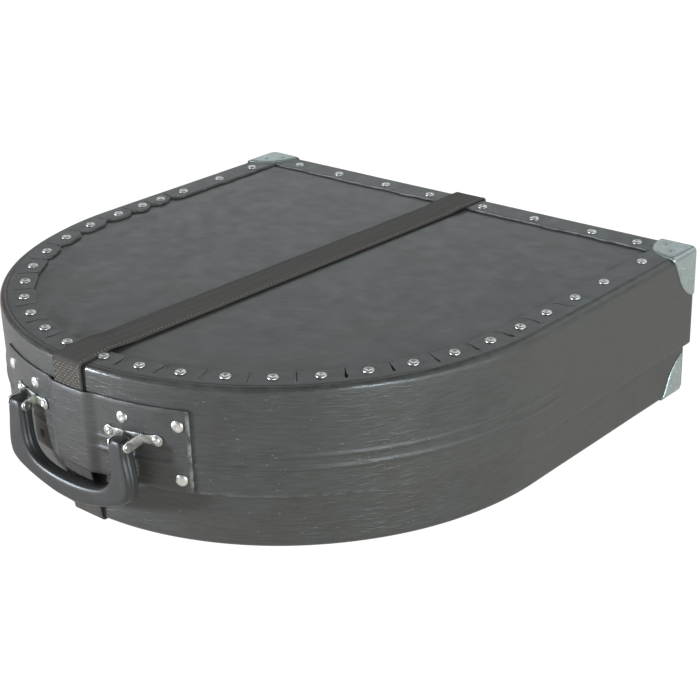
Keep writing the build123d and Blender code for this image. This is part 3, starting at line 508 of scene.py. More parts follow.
def shellPiece(name, body, node, outline, spec):
    inset, corner, bend = spec["inset"], spec["corner"], spec["bend"]
    flange, thick = case["flange"], case["fibre"]
    up = 1 if spec["foldZ"] > spec["edgeZ"] else -1
    tall = abs(spec["foldZ"] - spec["edgeZ"])
    rivetLine = case["rivetInset"]
    slitFrom, softTo = 13.0, 11.4  # insets where the slits start and where the bend's softness ends

    # how strong the beads are round the case, and the waves of the flange's edge
    x0, y0, _, _ = outline.plan(inset, corner)
    angle = np.arctan2(x0, -y0)
    sides = (outline.part == outline.right) | (outline.part == outline.left)
    fade = np.where(sides, 1 - smooth(0.0, 60.0, y0), outline.part == outline.front)
    fade = fade * (0.55 + 0.45 * (1 - smooth(0.45, 1.3, np.abs(angle))))
    edgeWave = np.array([0.9 * noiseAt(arc, 0, 0, 38.0, 3.1 + inset) + 0.5 * noiseAt(arc, 9, 0, 11.0, 1.7)
                         for arc in angle * 300])
    backWave = np.array([1.6 * noiseAt(x, 4, 0, 17.0, 7.0 + inset) for x in x0])
    sideWave = np.array([1.5 * noiseAt(0, y, 0, 26.0, 5.0 + inset) for y in y0])
    edgeWave += np.where(outline.part == outline.back, backWave, 0.0) + np.where(sides, sideWave, 0.0)
    edgeWave -= outline.tabRound * spec["scallop"] * np.where((angle < -1.0) & (y0 < 95), 1.0, 0.15)

    # the slits, narrow beside the handle plate and wide at the right
    slit, skew, start, bite = (outline.ofSlit(key) for key in ("wide", "skew", "start", "bite"))
    slit *= np.where((angle > 0.28) & (angle < 0.8), 0.35, np.where(angle >= 0.8, 1.7, 1.0))
    lift = np.array([outline.slits[s]["lift"][int(h > 0)] if s >= 0 else 0.0
                     for s, h in zip(outline.slit, outline.hand)])
    nearSlit = np.where(outline.role == 0, np.clip(1 - np.abs(outline.shift) / 5, 0, 1), 1.0)
    nearSlit *= outline.slit >= 0
    front = 1 - smooth(0.9, 1.35, np.abs(angle))  # 1 round the front, 0 along the sides and the back
    softBend = bend + spec["softer"] * (1 - front)

    points, wearAndHighlight, polish, scuff = [], [], [], []
    for w, h, zone, paleShare in shellRows(spec, tall):
        width, height = np.full(outline.count, float(w)), np.full(outline.count, float(h))
        if zone == "bend":
            width, height = softBend * (1 - math.cos(w)), tall - softBend + softBend * math.sin(w)
        elif zone == "flange" and w < softTo:
            width = softBend + (w - bend) * (softTo - softBend) / (softTo - bend)
        if zone in ("flange", "under") and w > rivetLine:
            edge = flange + edgeWave + 0.35 * bite
            width = rivetLine + (w - rivetLine) * (edge - rivetLine) / (flange - rivetLine)
        slotWide = slit * np.interp(w - start, slotShape["inset"], slotShape["wide"])
        if zone != "flange":
            slotWide = np.where(zone == "under", slotWide * 0.9, 0.15)
        lipOut = np.where(outline.role == 1, 0.16, 0.0)
        sideways = outline.shift + outline.hand * np.where(outline.role > 0, slotWide / 2 + lipOut, 0.0)
        if zone in ("flange", "under"):
            sideways = sideways + skew * smooth(slitFrom + 1, flange, w)
        bulge = np.zeros(outline.count)
        if zone in ("wall", "inner") and 1.0 < h < tall - bend:
            for centre, share in zip(spec["beads"], spec["beadShares"]):
                bulge += rolled["rise"] * bead(abs(h - centre), rolled["half"]) * fade * share
        x, y, tx, ty = outline.plan(inset + width - bulge, corner, sideways)
        z = height
        if zone == "flange":
            # a pressed crease beside the bend, tabs that stand a little at the slits, and the slits' depth
            tab = lift * smooth(slitFrom, flange, w)
            z -= spec["crease"] * front * math.exp(-((w - bend - 1.6) / 0.6) ** 2)
            z += tab * nearSlit
            z -= np.where(outline.role == 2, (thick - 0.15) * smooth(12.9, 13.5, w - start) + tab, 0.0)
        waves = np.array([noiseAt(a, b, (tall if zone in ("bend", "flange") else h) * 1.4, 95.0, 2.0 + inset)
                          for a, b in zip(x0, y0)])
        if zone in ("wall", "bend", "inner"):
            x += ty * waves * 0.5 * spec["wave"]
            y += -tx * waves * 0.5 * spec["wave"]
        if zone == "flange":
            z = z + 0.12 * float(smooth(11.0, 24.0, w)) * waves
        points.append(np.stack([x, y + curveY, spec["edgeZ"] + up * z], axis=1))
        # the slits' lips are painted pale, a painted highlight along their lit edges
        lipHighlight = np.where((outline.role == 1) & (zone == "flange") & (slitFrom < w < rivetLine), 0.35, 0.0)
        if zone == "wall" and h < 1:
            paleShare = paleShare * (0.12 + 0.6 * front)
        wearAndHighlight.append(np.maximum(paleShare, lipHighlight))
        polish.append((math.sin(2 * w) if zone == "bend" else 0.0) * front)
        scuff.append((0.25 + 0.75 * front) * (zone == "wall"))
    wearAndHighlight, polish, scuff = (np.concatenate(rows) for rows in (wearAndHighlight, polish, scuff))
    makePiece(name, np.concatenate(points), gridFaces(len(points), outline.count, True), fibre, body,
              [node], {"wearAndHighlight": wearAndHighlight, "polish": polish, "scuff": scuff})


lidShell = {"inset": 0.0, "corner": 8.0, "bend": 5.0, "edgeZ": case["lidEdge"], "foldZ": case["lidTop"],
            "beads": (28.5, 40.0), "beadShares": (1.35, 0.95), "wave": 0.7, "scallop": 9.0, "crease": 0.35,
            "softer": 3.0}
baseShell = {"inset": case["baseInset"], "corner": 6.0, "bend": 4.0, "edgeZ": case["baseRim"],
             "foldZ": case["underside"], "beads": (), "beadShares": (), "wave": 0.6, "scallop": 5.0,
             "crease": 0.4, "softer": 1.0}
straight = caseSide - lidShell["corner"]  # of each side, up to its rounded corner
lidSlits = [(Outline.right, y / straight) for y in (20.0, 72.0)]
lidSlits += [(Outline.left, y / straight) for y in (18.0, 50.0, 83.0)]
for body, spec, slits in (("lid", lidShell, lidSlits), ("base", baseShell, ())):
    outline = Outline(rivetAngles(caseRadius - spec["inset"] - case["rivetInset"]), slits)
    shellPiece(body + "Shell", body, body + "_wall", outline, spec)
print("shells ready")


# rivets

def solidGroups(node):
    # the points of each separate solid in one of the frame's nodes
    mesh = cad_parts[node].data
    keys = [tuple(round(c * 1e5) for c in v.co) for v in mesh.vertices]
    points = {}
    for vertex, key in zip(mesh.vertices, keys):
        points.setdefault(key, np.array(vertex.co) * 1000)
    parent = {key: key for key in points}

    def root(key):
        while parent[key] != key:
            parent[key] = parent[parent[key]]
            key = parent[key]
        return key

    for edge in mesh.edges:
        a, b = (root(keys[v]) for v in edge.vertices)
        parent[a] = b
    groups = {}
    for key in points:
        groups.setdefault(root(key), []).append(points[key])
    return [np.array(group) for group in groups.values()]


def rivetPlaces(node, rise):
    # middle of each rivet's seat, its outward axis and its length
    places = []
    for group in solidGroups(node):
        mean = group.mean(axis=0)
        values, vectors = np.linalg.eigh(np.cov((group - mean).T))
        gaps = [abs(values[1] - values[2]), abs(values[0] - values[2]), abs(values[0] - values[1])]
        axis = vectors[:, int(np.argmin(gaps))]  # the odd one out of the three, as the other two are alike
        middle = (group.min(axis=0) + group.max(axis=0)) / 2
        insideZ = 80.0 if abs(axis[2]) >= 0.5 else middle[2]
        inside = np.array([0.0, min(max(mean[1], curveY), curveY + 180), insideZ])
        if axis @ (middle - inside) < 0:
            axis = -axis
        heights = group @ axis
        centre = mean + axis * (heights.max() - rise - mean @ axis)
        places.append((Vector(centre), Vector(axis).normalized(), float(heights.max() - heights.min())))
    return sorted(places, key=lambda p: tuple(round(c, 2) for c in p[0]))


def rivetPiece(name, body, node, material, spec, pick=lambda centre: True, segments=22):
    # a turned head and shank, each tilted a little and dimpled off its middle
    points, faces = [], []
    for centre, axis, length in rivetPlaces(node, spec["rise"]):
        if not pick(centre):
            continue
        turn = Vector((0, 0, 1)).rotation_difference(axis).to_matrix()
        for low, high, way in ((-0.035, 0.035, "X"), (-0.035, 0.035, "Y"), (0, 6.28, "Z")):
            turn = turn @ Matrix.Rotation(dice.uniform(low, high), 3, way)
        dimple = (dice.uniform(-0.25, 0.25), dice.uniform(-0.25, 0.25))
        dice.random()  # drawn and not used, so that the draws after it stay the same
        tail, shank, wide = spec["rise"] - length, spec["shank"], spec["tail"]
        profile = [*spec["head"], (shank, -0.3), (shank, tail + 0.9), (wide, tail + 0.8), (wide, tail + 0.35),
                   (wide - 0.5, tail + 0.05), (1.6, tail), (1.2, tail + 0.35), (0.0, tail + 0.4)]
        start = len(points)
        for radius, height in profile[1:-1]:
            shiftX, shiftY = dimple if radius < spec["ring"] else (0.0, 0.0)
            for k in range(segments):
                a = 2 * math.pi * k / segments
                local = Vector((radius * math.cos(a) + shiftX, radius * math.sin(a) + shiftY, height))
                points.append(centre + turn @ local)
        rings = len(profile) - 2
        faces += gridFaces(rings, segments, start=start)
        faces += fanFaces(start, segments, len(points))
        points.append(centre + turn @ Vector((*dimple, profile[0][1])))
        faces += fanFaces(start + (rings - 1) * segments, segments, len(points))
        points.append(centre + turn @ Vector((0, 0, profile[-1][1])))
    makePiece(name, points, faces, material, body, [node])


def underHandle(centre):
    # the handle plate's two flush black rivets, which hardly show
    return abs(centre[0]) < 80 and centre[2] < 90


# a head is a list of radius and height over its seat
panelRivet = {"rise": 2.4, "shank": 2.0, "tail": 4.0, "ring": 2.6,
              "head": ((0, 0.75), (0.5, 0.8), (0.9, 1.1), (1.4, 1.25), (2.2, 1.3), (3.0, 1.42), (3.7, 1.55),
                       (4.3, 1.45), (4.8, 1.1), (5.2, 0.6), (5.45, 0.2), (5.45, 0.0), (5.2, -0.2))}
plateRivet = dict(panelRivet, ring=2.2, head=((0, 1.5), (0.8, 1.6), (1.7, 1.8), (2.6, 1.9), (3.6, 1.75),
                                              (4.5, 1.4), (5.2, 0.95), (5.8, 0.45), (6.0, 0.1), (5.8, -0.2)))
flushRivet = dict(panelRivet, ring=0.5, head=((0, 0.5), (1.0, 0.52), (2.4, 0.5), (3.4, 0.42), (4.1, 0.25),
                                              (4.4, 0.05), (4.3, -0.2)))
capRivet = {"rise": 0.9, "shank": 2.0, "tail": 3.2, "ring": 2.0,
            "head": ((0, -0.5), (0.6, -0.4), (0.9, -0.1), (1.2, 0.08), (1.6, 0.1), (2.0, 0.0), (2.3, -0.2),
                     (2.45, -0.45), (2.45, -0.7))}
bracketRivet = {"rise": 2.0, "shank": 1.8, "tail": 3.4, "ring": 1.6,
                "head": ((0, 1.2), (0.6, 1.25), (1.0, 1.75), (1.5, 2.0), (2.3, 1.9), (3.1, 1.5), (3.8, 0.9),
                         (4.25, 0.35), (4.3, 0.0), (4.1, -0.2))}
for body in ("lid", "base"):
    rivetPiece(body + "Rivets", body, body + "_rivets", rivetNickel, panelRivet)
rivetPiece("plateRivets", "lid", "plate_rivets", rivetNickel, plateRivet,
           lambda centre: not underHandle(centre))
rivetPiece("plateRivetsFlush", "lid", "plate_rivets", rivetBlack, flushRivet, underHandle)
for body in ("lid", "base"):
    rivetPiece(body + "SpliceRivets", body, body + "_splice_rivets", rivetNickel, panelRivet)
for body in ("lid", "base"):
    rivetPiece(body + "CornerRivets", body, body + "_corner_rivets", cornerZinc, capRivet)
print("rivets ready")


# corner plates

def roundTheCorner(dx, dy, dz, rise, corner, fold):
    # moves a point on the three faces of a sharp corner on to the rounded corner and edge, and out by rise
    c, f = corner + rise, fold + rise
    onTop = dz < 1e-6
    dx, dy, dz = dx + rise, dy + rise, dz + rise
    inCorner = dx < c and dy < c
    ux, uy, deep = (1.0, 0.0, dx) if dx < dy else (0.0, 1.0, dy)
    if inCorner:
        long = math.hypot(c - dx, c - dy) or 1e-9
        ux, uy, deep = (c - dx) / long, (c - dy) / long, max(c - long, 0.0)
    deep, down = (deep, 0.0) if onTop else (0.0, dz)
    if deep < f and down < f:
        long = math.hypot(f - deep, f - down)
        deep, down = f - f * (f - deep) / long, f - f * (f - down) / long
    if inCorner:
        px, py = c - ux * (c - deep), c - uy * (c - deep)
    else:
        px, py = (deep, dy) if ux else (dx, deep)
    return px - rise, py - rise, down - rise


def cornerPlate(name, body, node, spec, sideX):
    # one pressed plate with a leaf on each of the three faces: a layer on the fibre, one over it and a rim
    halfX, backY = caseRadius - spec["inset"], curveY + caseSide - spec["inset"]
    up = 1 if spec["faceZ"] > 80 else -1
    steps, rings, seat = 22, 15, 0.05
    leaves = (lambda a, b: (a, b, 0.0)), (lambda a, b: (0.0, a, b)), (lambda a, b: (b, 0.0, a))
    points, faces = [], []
    edges = {}
    for layer in (0, 1):
        for n, leaf in enumerate(leaves):
            start = len(points)
            for r in range(rings + 1):
                for s in range(steps + 1):
                    angle = s / steps * math.pi / 2
                    edge = spec["reach"] / leafReach * float(np.interp(math.degrees(angle), *leafShapes[n]))
                    radius = edge * (r / rings) ** 0.85
                    a, b = radius * math.cos(angle), radius * math.sin(angle)
                    rise = seat
                    if layer:
                        rise += (spec["thick"] - seat) * float(smooth(-0.9, 1.6, edge - radius))
                        for da, db in spec["dimples"]:
                            away = (a - da * spec["reach"]) ** 2 + (b - db * spec["reach"]) ** 2
                            rise -= 0.55 * math.exp(-away / 8.0)
                    flat = leaf(max(a, 0), max(b, 0))
                    px, py, pz = roundTheCorner(*flat, rise, spec["corner"], spec["fold"])
                    points.append((sideX * (halfX - px), backY - py, spec["faceZ"] - up * pz))
            faces += gridFaces(rings + 1, steps + 1, wrapColumns=False, start=start)
            edges[layer, n] = start + rings * (steps + 1)
    for n in range(3):
        inner, outer = edges[0, n], edges[1, n]
        faces += [(inner + s, inner + s + 1, outer + s + 1, outer + s) for s in range(steps)]
    makePiece(name, points, faces, cornerZinc, body, [node], weld=0.00002)


# each leaf's edge as angles in degrees and distances from the corner, on a plate that reaches 47 mm
leafReach = 47.0
leafShapes = (((0, 6.4, 25.5, 44, 50, 65.4, 81.5, 90), (43.5, 43, 45.1, 47.2, 48.2, 48.4, 48, 49)),
              ((0, 10, 20, 31.6, 51.5, 74, 84, 90), (49, 44.2, 42.6, 42.4, 45.3, 49.6, 51.4, 51.5)),
              ((0, 16, 45, 70, 90), (51.5, 48.5, 46, 44.6, 43.5)))
lidCorner = {"inset": 0.0, "faceZ": case["lidTop"], "fold": 4.0, "corner": 8.0, "thick": 1.5, "reach": 47.0,
             "dimples": ((0.62, 0.32), (0.32, 0.62))}
baseCorner = dict(lidCorner, inset=case["baseInset"], faceZ=case["underside"], corner=6.0, reach=38.5)
for side, sideX in (("left", -1), ("right", 1)):
    cornerPlate("lidCorner" + side.title(), "lid", "lid_corner_" + side, lidCorner, sideX)
    cornerPlate("baseCorner" + side.title(), "base", "base_corner_" + side, baseCorner, sideX)
print("corner plates ready")


# handle plate

def handlePlatePiece():
    plate = {"halfArc": 126.5, "bottomZ": 57.4, "height": 80.0, "thick": 2.3, "beads": (84.9, 96.4),
             "beadShares": (1.0, 0.7), "bridgeX": -3.0, "bridgeFrom": 19.5, "bridgeTo": 34.5,
             "bridgeRise": 3.6, "wave": 0.18, "eased": 0.55, "scuff": 0.45}
    end = plate["halfArc"]
    arcs = [-end, -end + 0.35, -end + 1.2, *np.arange(-end + 3.0, end - 2.9, 1.6), end - 1.2, end - 0.35, end]
    heights = [0.0, 0.35, 1.2, 4.0, 8.0, 14.0, 20.0, 46.0, 52.0, 58.0, 64.0, 70.0, 75.0, 78.8, 79.65, 80.0]
    for centre in plate["beads"]:
        heights += [centre - plate["bottomZ"] + d * 0.9 for d in range(-4, 5)]
    heights = sorted(set(round(h, 3) for h in heights))
    points, wearAndHighlight = [], []
    for arc in arcs:
        bridge = 1 - float(smooth(plate["bridgeFrom"], plate["bridgeTo"], abs(arc - plate["bridgeX"])))
        beadSize = 1.15 if arc > plate["bridgeX"] else 0.46
        paleShare, reach = (1.6, 2.6) if end - arc < 2.7 else (0.12, 1.6)  # the right end is painted pale: a rubbed cut edge with a painted highlight along it
        for outer in (True, False):
            for h in (heights if outer else heights[::-1]):
                rolled = sum(beadSize * share * bead(abs(h + plate["bottomZ"] - centre), 3.8)
                             for centre, share in zip(plate["beads"], plate["beadShares"]))
                face = caseRadius + plate["thick"] + rolled * (1 - bridge) + plate["bridgeRise"] * bridge
                face += plate["wave"] * noiseAt(arc, h, 0, 34.0, 4.4)
                nearEdge = min(arc + end, end - arc, h, plate["height"] - h)
                eased = plate["eased"] * (1 - float(smooth(0.0, 1.3, nearEdge)))
                radius = face - eased if outer else face - plate["thick"] + 0.02 * (1 - eased)
                points.append(onCurve(radius, arc / caseRadius, plate["bottomZ"] + h))
                wearAndHighlight.append(paleShare * (1 - float(smooth(0.2 * reach, reach, nearEdge))) if outer else 0.0)
    perColumn = 2 * len(heights)
    faces = gridFaces(len(arcs), perColumn)
    for start in (0, (len(arcs) - 1) * perColumn):
        faces += [(start + k, start + k + 1, start + perColumn - 2 - k, start + perColumn - 1 - k)
                  for k in range(len(heights) - 1)]
    makePiece("handlePlate", points, faces, fibre, "lid", ["handle_plate"],
              {"wearAndHighlight": wearAndHighlight, "scuff": np.full(len(points), plate["scuff"])})


handlePlatePiece()


# handle

def handlePiece():
    # One moulding: legs that widen below the pins, soft corners and a slightly bowed grip. Its left half is
    # given from the end of the leg to the middle, as sideways and upward distances from between the pins.
    grip = {"pinZ": 103.4, "pinOut": 309.0, "lean": math.radians(3.5), "depth": 15.0, "grooveMm": 1.6,
            "shift": 2.0}
    outer = [(-74.5, 5.2), (-77.3, 4.2), (-78.8, 1.5), (-79.0, -4.0), (-79.6, -12.0), (-81.5, -22.0),
             (-82.8, -32.0), (-82.6, -40.5), (-79.6, -50.0), (-72.0, -56.6), (-63.0, -60.9), (-52.0, -65.0),
             (-38.5, -69.0), (-20.0, -73.0), (0.0, -74.6)]
    inner = [(-65.5, 5.2), (-62.7, 4.2), (-61.2, 1.5), (-61.0, -4.0), (-61.0, -12.0), (-60.8, -21.0),
             (-60.2, -28.0), (-58.6, -34.5), (-55.0, -40.5), (-50.0, -45.2), (-43.5, -48.8), (-35.0, -51.4),
             (-25.0, -53.1), (-12.0, -54.3), (0.0, -54.7)]
    squareness = [3.0] * 3 + [6.0] * 6 + [5.4, 4.8, 4.4, 4.0, 4.0, 4.0]
    groove = [0.0] * 3 + [0.3, 1.0, 1.0, 1.0, 1.0, 0.8, 0.3] + [0.0] * 5
    slim = [0.62, 0.85, 0.97] + [1.0] * 12

    def spread(values):
        # smooth in-between stations
        values = np.array(values, float).reshape(len(values), -1)
        padded = [values[0], *values, values[-1]]
        fine = []
        for before, here, there, after in zip(padded, padded[1:], padded[2:], padded[3:]):
            for t in (0.0, 0.25, 0.5, 0.75):
                fine.append(0.5 * (2 * here + (there - before) * t
                                   + (2 * before - 5 * here + 4 * there - after) * t * t
                                   + (3 * here - before - 3 * there + after) * t ** 3))
        return fine + [values[-1]]

    stations = list(zip(*map(spread, (outer, inner, squareness, groove, slim))))
    mirror = np.array([-1.0, 1.0])
    stations += [(o * mirror, i * mirror, *rest) for o, i, *rest in stations[-2::-1]]
    sinLean, cosLean = math.sin(grip["lean"]), math.cos(grip["lean"])
    upward, outward = np.array([0, sinLean, cosLean]), np.array([0, -cosLean, sinLean])
    pin = np.array([0.0, curveY - grip["pinOut"], grip["pinZ"]])
    ringSize = 56
    points = []
    for o, i, (n,), (g,), (w,) in stations:
        middle, half = (o + i) / 2, (o - i) / 2
        for k in range(ringSize):
            # points spread evenly round a square, then drawn in to a soft-cornered section
            side, along = divmod(4.0 * k / ringSize, 1.0)
            along = 2 * along - 1
            u, d = ((1.0, along), (-along, 1.0), (-1.0, -along), (along, -1.0))[int(side)]
            pull = (abs(u) ** n + abs(d) ** n) ** (-1 / n)
            u, d = u * pull, d * pull * grip["depth"] / 2 * w
            if g and abs(u) > 0.8:  # a groove between two raised lines, down both faces of each leg
                lines = 0.4 * math.exp(-((abs(d) - 3.2) / 1.1) ** 2) - math.exp(-(d / 1.4) ** 2)
                u += math.copysign(g * grip["grooveMm"] / np.linalg.norm(half) * lines, u)
            across, height = middle + half * u
            across += grip["shift"] * float(smooth(-4.0, -34.0, height)) if height < -4 else 0.0
            points.append(pin + np.array([across, 0, 0]) + upward * height + outward * d)
    faces = gridFaces(len(stations), ringSize)
    for start in (0, (len(stations) - 1) * ringSize):
        faces += fanFaces(start, ringSize, len(points))
        points.append(np.mean(points[start:start + ringSize], axis=0) + upward * 0.1)
    makePiece("carryingHandle", points, faces, handlePlastic, "handle", ["handle_grip"])


handlePiece()


def ribbon(points, faces, stations, thin, ringSize=20):
    # closed bar through stations of (middle, wide way, thin way, half width)
    start = len(points)
    for middle, wideWay, thinWay, half in stations:
        for k in range(ringSize):
            turn = 2 * math.pi * k / ringSize
            wide, flat = (math.copysign(abs(v) ** 0.45, v) for v in (math.cos(turn), math.sin(turn)))
            offset = np.array(wideWay) * half * wide + np.array(thinWay) * thin * flat
            points.append(np.array(middle) + offset)
    faces += gridFaces(len(stations), ringSize, start=start)
    for first in (start, len(points) - ringSize):
        faces.append(tuple(range(first, first + ringSize)))


def bracketPiece(side, sign):
    # pressed strip with two round lobes, and two ears bent out of it that hold the pin
    bracket = {"legX": 70.0 * sign, "z": 105.6, "seat": 302.4, "thick": 1.5, "halfLong": 31.0, "lobe": 5.7,
               "waist": 4.3, "dent": 0.2, "dentAt": 17.5, "earIn": 9.4, "earThick": 1.6, "pinOut": 309.0,
               "pinZ": 103.4, "earHalf": 5.6}
    seat, end = bracket["seat"], bracket["halfLong"]
    middleAngle = math.asin(bracket["legX"] / (seat + 1.0))
    points, faces, stations = [], [], []
    closing = np.array([0.0, 0.2, 0.8, 1.8])  # sections close together at the rounded ends
    for u in (*(closing - end), *np.linspace(3.2 - end, end - 3.2, 30), *(end - closing[::-1])):
        fromLobe = abs(u) - (end - bracket["lobe"])
        lobe = math.sqrt(max(0.04, bracket["lobe"] ** 2 - fromLobe ** 2)) if abs(u) > 20 else 0.0
        waist = bracket["waist"] * float(smooth(0.0, 3.0, end - abs(u)))
        waist += 0.15 * noiseAt(u, sign * 30, 0, 6.0)
        angle = middleAngle + u / seat
        dent = bracket["dent"] * math.exp(-((abs(u) - bracket["dentAt"]) / 2.0) ** 2)
        z = bracket["z"] + 0.3 * noiseAt(u, sign * 9, 3, 12.0)
        middle = onCurve(seat + bracket["thick"] / 2 - dent, angle, z)
        stations.append((middle, (0, 0, 1), (math.sin(angle), -math.cos(angle), 0.0), max(lobe, waist)))
    ribbon(points, faces, stations, bracket["thick"] / 2)
    tip = bracket["pinOut"] + bracket["earHalf"]
    for hand in (-1, 1):
        x = bracket["legX"] + hand * (bracket["earIn"] + bracket["earThick"] / 2)
        rootOut = math.sqrt(seat ** 2 - x * x)
        stations = []
        for t in (0.0, 0.12, 0.25, 0.4, 0.55, 0.68, 0.78, 0.86, 0.92, 0.96, 0.985, 1.0):
            out = rootOut + (tip - rootOut) * t
            past = max(out - bracket["pinOut"], 0.0)
            half = math.sqrt(max(0.05, bracket["earHalf"] ** 2 - past ** 2))
            z = bracket["z"] + (bracket["pinZ"] - bracket["z"]) * float(smooth(0.0, 0.8, t))
            stations.append(((x, curveY - out, z), (0, 0, 1), (1, 0, 0), half))
        ribbon(points, faces, stations, bracket["earThick"] / 2)
    makePiece("handleBracket" + side.title(), points, faces, bracketNickel, "lid",
              ["bracket_" + side])


bracketPiece("left", -1)
bracketPiece("right", 1)
rivetPiece("bracketRivets", "lid", "bracket_rivets", bracketNickel, bracketRivet)
print("handle ready")


# web strap

def roundedPath(corners, radius, step=3.0):
    # points along a run with rounded corners, as distances back from the curve's centre and heights
    corners = [np.array(c, float) for c in corners]
    path = [corners[0]]
    for before, corner, after in zip(corners, corners[1:], corners[2:]):
        inWay, outWay = corner - before, after - corner
        inLong, outLong = np.linalg.norm(inWay), np.linalg.norm(outWay)
        inWay, outWay = inWay / inLong, outWay / outLong
        turn = math.acos(max(-1.0, min(1.0, float(inWay @ outWay))))
        cut = min(radius * math.tan(turn / 2), inLong / 2.01, outLong / 2.01)
        for t in np.linspace(0, 1, 9):
            path.append(corner - inWay * cut * (1 - t) ** 2 + outWay * cut * t ** 2)
    path.append(corners[-1])
    fine = [path[0]]
    for a, b in zip(path, path[1:]):
        count = max(1, round(np.linalg.norm(b - a) / step))
        fine += [a + (b - a) * k / count for k in range(1, count + 1)]
    return np.array(fine)


def runsAlong(path):
    # the distance from the path's start to each of its points
    return np.concatenate([[0], np.cumsum(np.linalg.norm(np.diff(path, axis=0), axis=1))])


def strapX(back):
    # the strap's middle; it turns a little where it comes over the front edge
    return float(np.interp(back, [-303.0, -285.0, -262.0, 250.0], [-3.0, -4.5, -8.0, strap["backX"]]))


def strapDeep(x):
    # how far the round front lies behind its foremost point
    return strap["front"] - math.sqrt(strap["front"] ** 2 - x * x)


def strapPiece(name, path, body, replaces, sag, hole):
    # one length of webbing along a path; sag bends it across its width to the round front, and a hole is a
    # pair of heights on the back between which a slot is open
    halfSlot = 3.6
    across = [-halfWeb, -halfWeb + 0.8, -halfWeb + 2.4, -13.0, -9.5, -6.5, -3.5, 0.0]
    across += [-u for u in reversed(across[:-1])]
    runs = runsAlong(path)
    points, cloth = [], []
    for (back, z), run in zip(path, runs):
        for u in across:
            x = strapX(back) + u
            ripple = 0.10 * noiseAt(u, run, 0, 21.0, 8.0) if z > 160 else 0.0
            points.append((x, curveY + back + sag(back, z) * strapDeep(x), z + ripple))
            cloth.append((u, run, 0.0))
    faces = []
    for face in gridFaces(len(path), len(across), wrapColumns=False):
        u = sum(cloth[i][0] for i in face) / 4
        y, z = (sum(points[i][axis] for i in face) / 4 for axis in (1, 2))
        if not (hole and abs(u) < halfSlot and hole[0] < z < hole[1] and y - curveY > 200):
            faces.append(face)
    piece = makePiece(name, points, faces, webbing, None, replaces, {"cloth": cloth}, closed=False)
    solid = piece.modifiers.new("webThickness", "SOLIDIFY")
    solid.thickness, solid.offset = strap["thick"] / 1000, 0.0
    solid.use_even_offset = solid.use_rim = True
    if body:
        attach(piece, body)
    return piece, round(runs[-1])


def frontSag(back, z):
    return 1.0 if back < -290 else float(1 - smooth(-290.0, -240.0, back))


def lowSag(back, z):
    return float(smooth(1.4, 30.0, z)) if back < 0 else 0.0


def noSag(back, z):
    return 0.0


upperPath = roundedPath([(-strap["front"], 56.8), (-strap["front"], strap["lidTop"]),
                         (strap["lidBack"], strap["lidTop"]), (strap["lidBack"], 127.0),
                         (strap["tail"], 110.0), (strap["tail"], strap["tailZ"])], 5.0)
onTop = upperPath[:, 1] > 160  # it sinks towards the panel between the folded edges
sunk = smooth(-262.0, -232.0, upperPath[:, 0]) * (1 - smooth(214.0, 244.0, upperPath[:, 0]))
upperPath[:, 1] -= 1.7 * onTop * sunk
underFront = -255.0  # where the two lower lengths meet below the base
lowerFrontPath = roundedPath([(-strap["front"], case["lidEdge"]), (-294.0, strap["under"]),
                              (underFront, strap["under"])], 5.0)
risePath = roundedPath([(underFront, strap["under"]), (274.8, strap["under"]),
                        (strap["baseBack"], case["lidEdge"]), (strap["baseBack"], strap["heelZ"])], 2.4)
turns = np.linspace(math.pi, 0.0, 11)[1:]
heelPath = strap["heelTurn"] * np.stack([np.cos(turns), np.sin(turns)], axis=1)
heelPath += (strap["heel"], strap["heelZ"])
foldOut = strap["heel"] + strap["heelTurn"]
foldPath = roundedPath([(foldOut, strap["heelZ"]), (foldOut, 99.0), (285.4, 87.0), (285.4, 57.0)], 6.0)[1:]
lowerBackPath = np.concatenate([risePath, heelPath, foldPath])

_, upperLong = strapPiece("strapUpper", upperPath, "lid", ["strap_upper"], frontSag, (95.0, 124.5))
lowerFront, frontLong = strapPiece("strapLowerFront", lowerFrontPath, None, [], lowSag, None)
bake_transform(lowerFront)
_, backLong = strapPiece("strapLower", lowerBackPath, "base", ["strap_lower"], noSag, (96.0, 109.0))
print("strap ready", upperLong, frontLong, backLong)


def stitchPiece(name, stitches, material, body):
    # short raised strands; each stitch has a middle, a direction, a normal and its length and width
    halfStrand = ((0.5, 0.35, -0.3), (0.3, 0.9, 0.3))  # place along it, share of the width, rise
    sections = [(-t, size, rise) for t, size, rise in halfStrand] + [(0.0, 1.0, 0.55), *reversed(halfStrand)]
    points, faces = [], []
    for middle, along, normal, length, wide in stitches:
        middle, along, normal = (np.array(v, float) for v in (middle, along, normal))
        along /= np.linalg.norm(along)
        side = np.cross(along, normal)
        start = len(points)
        for t, size, rise in sections:
            for s, r in ((-0.5, 0.0), (-0.3, 0.8), (0.3, 0.8), (0.5, 0.0), (0.0, -0.5)):
                out = normal * wide * (0.6 * rise + 0.4 * r * size)
                points.append(middle + along * t * length + side * s * wide * size + out)
        faces += gridFaces(5, 5, start=start)
        faces += [tuple(range(start, start + 5)), tuple(range(start + 20, start + 25))]
    makePiece(name, points, faces, material, body)


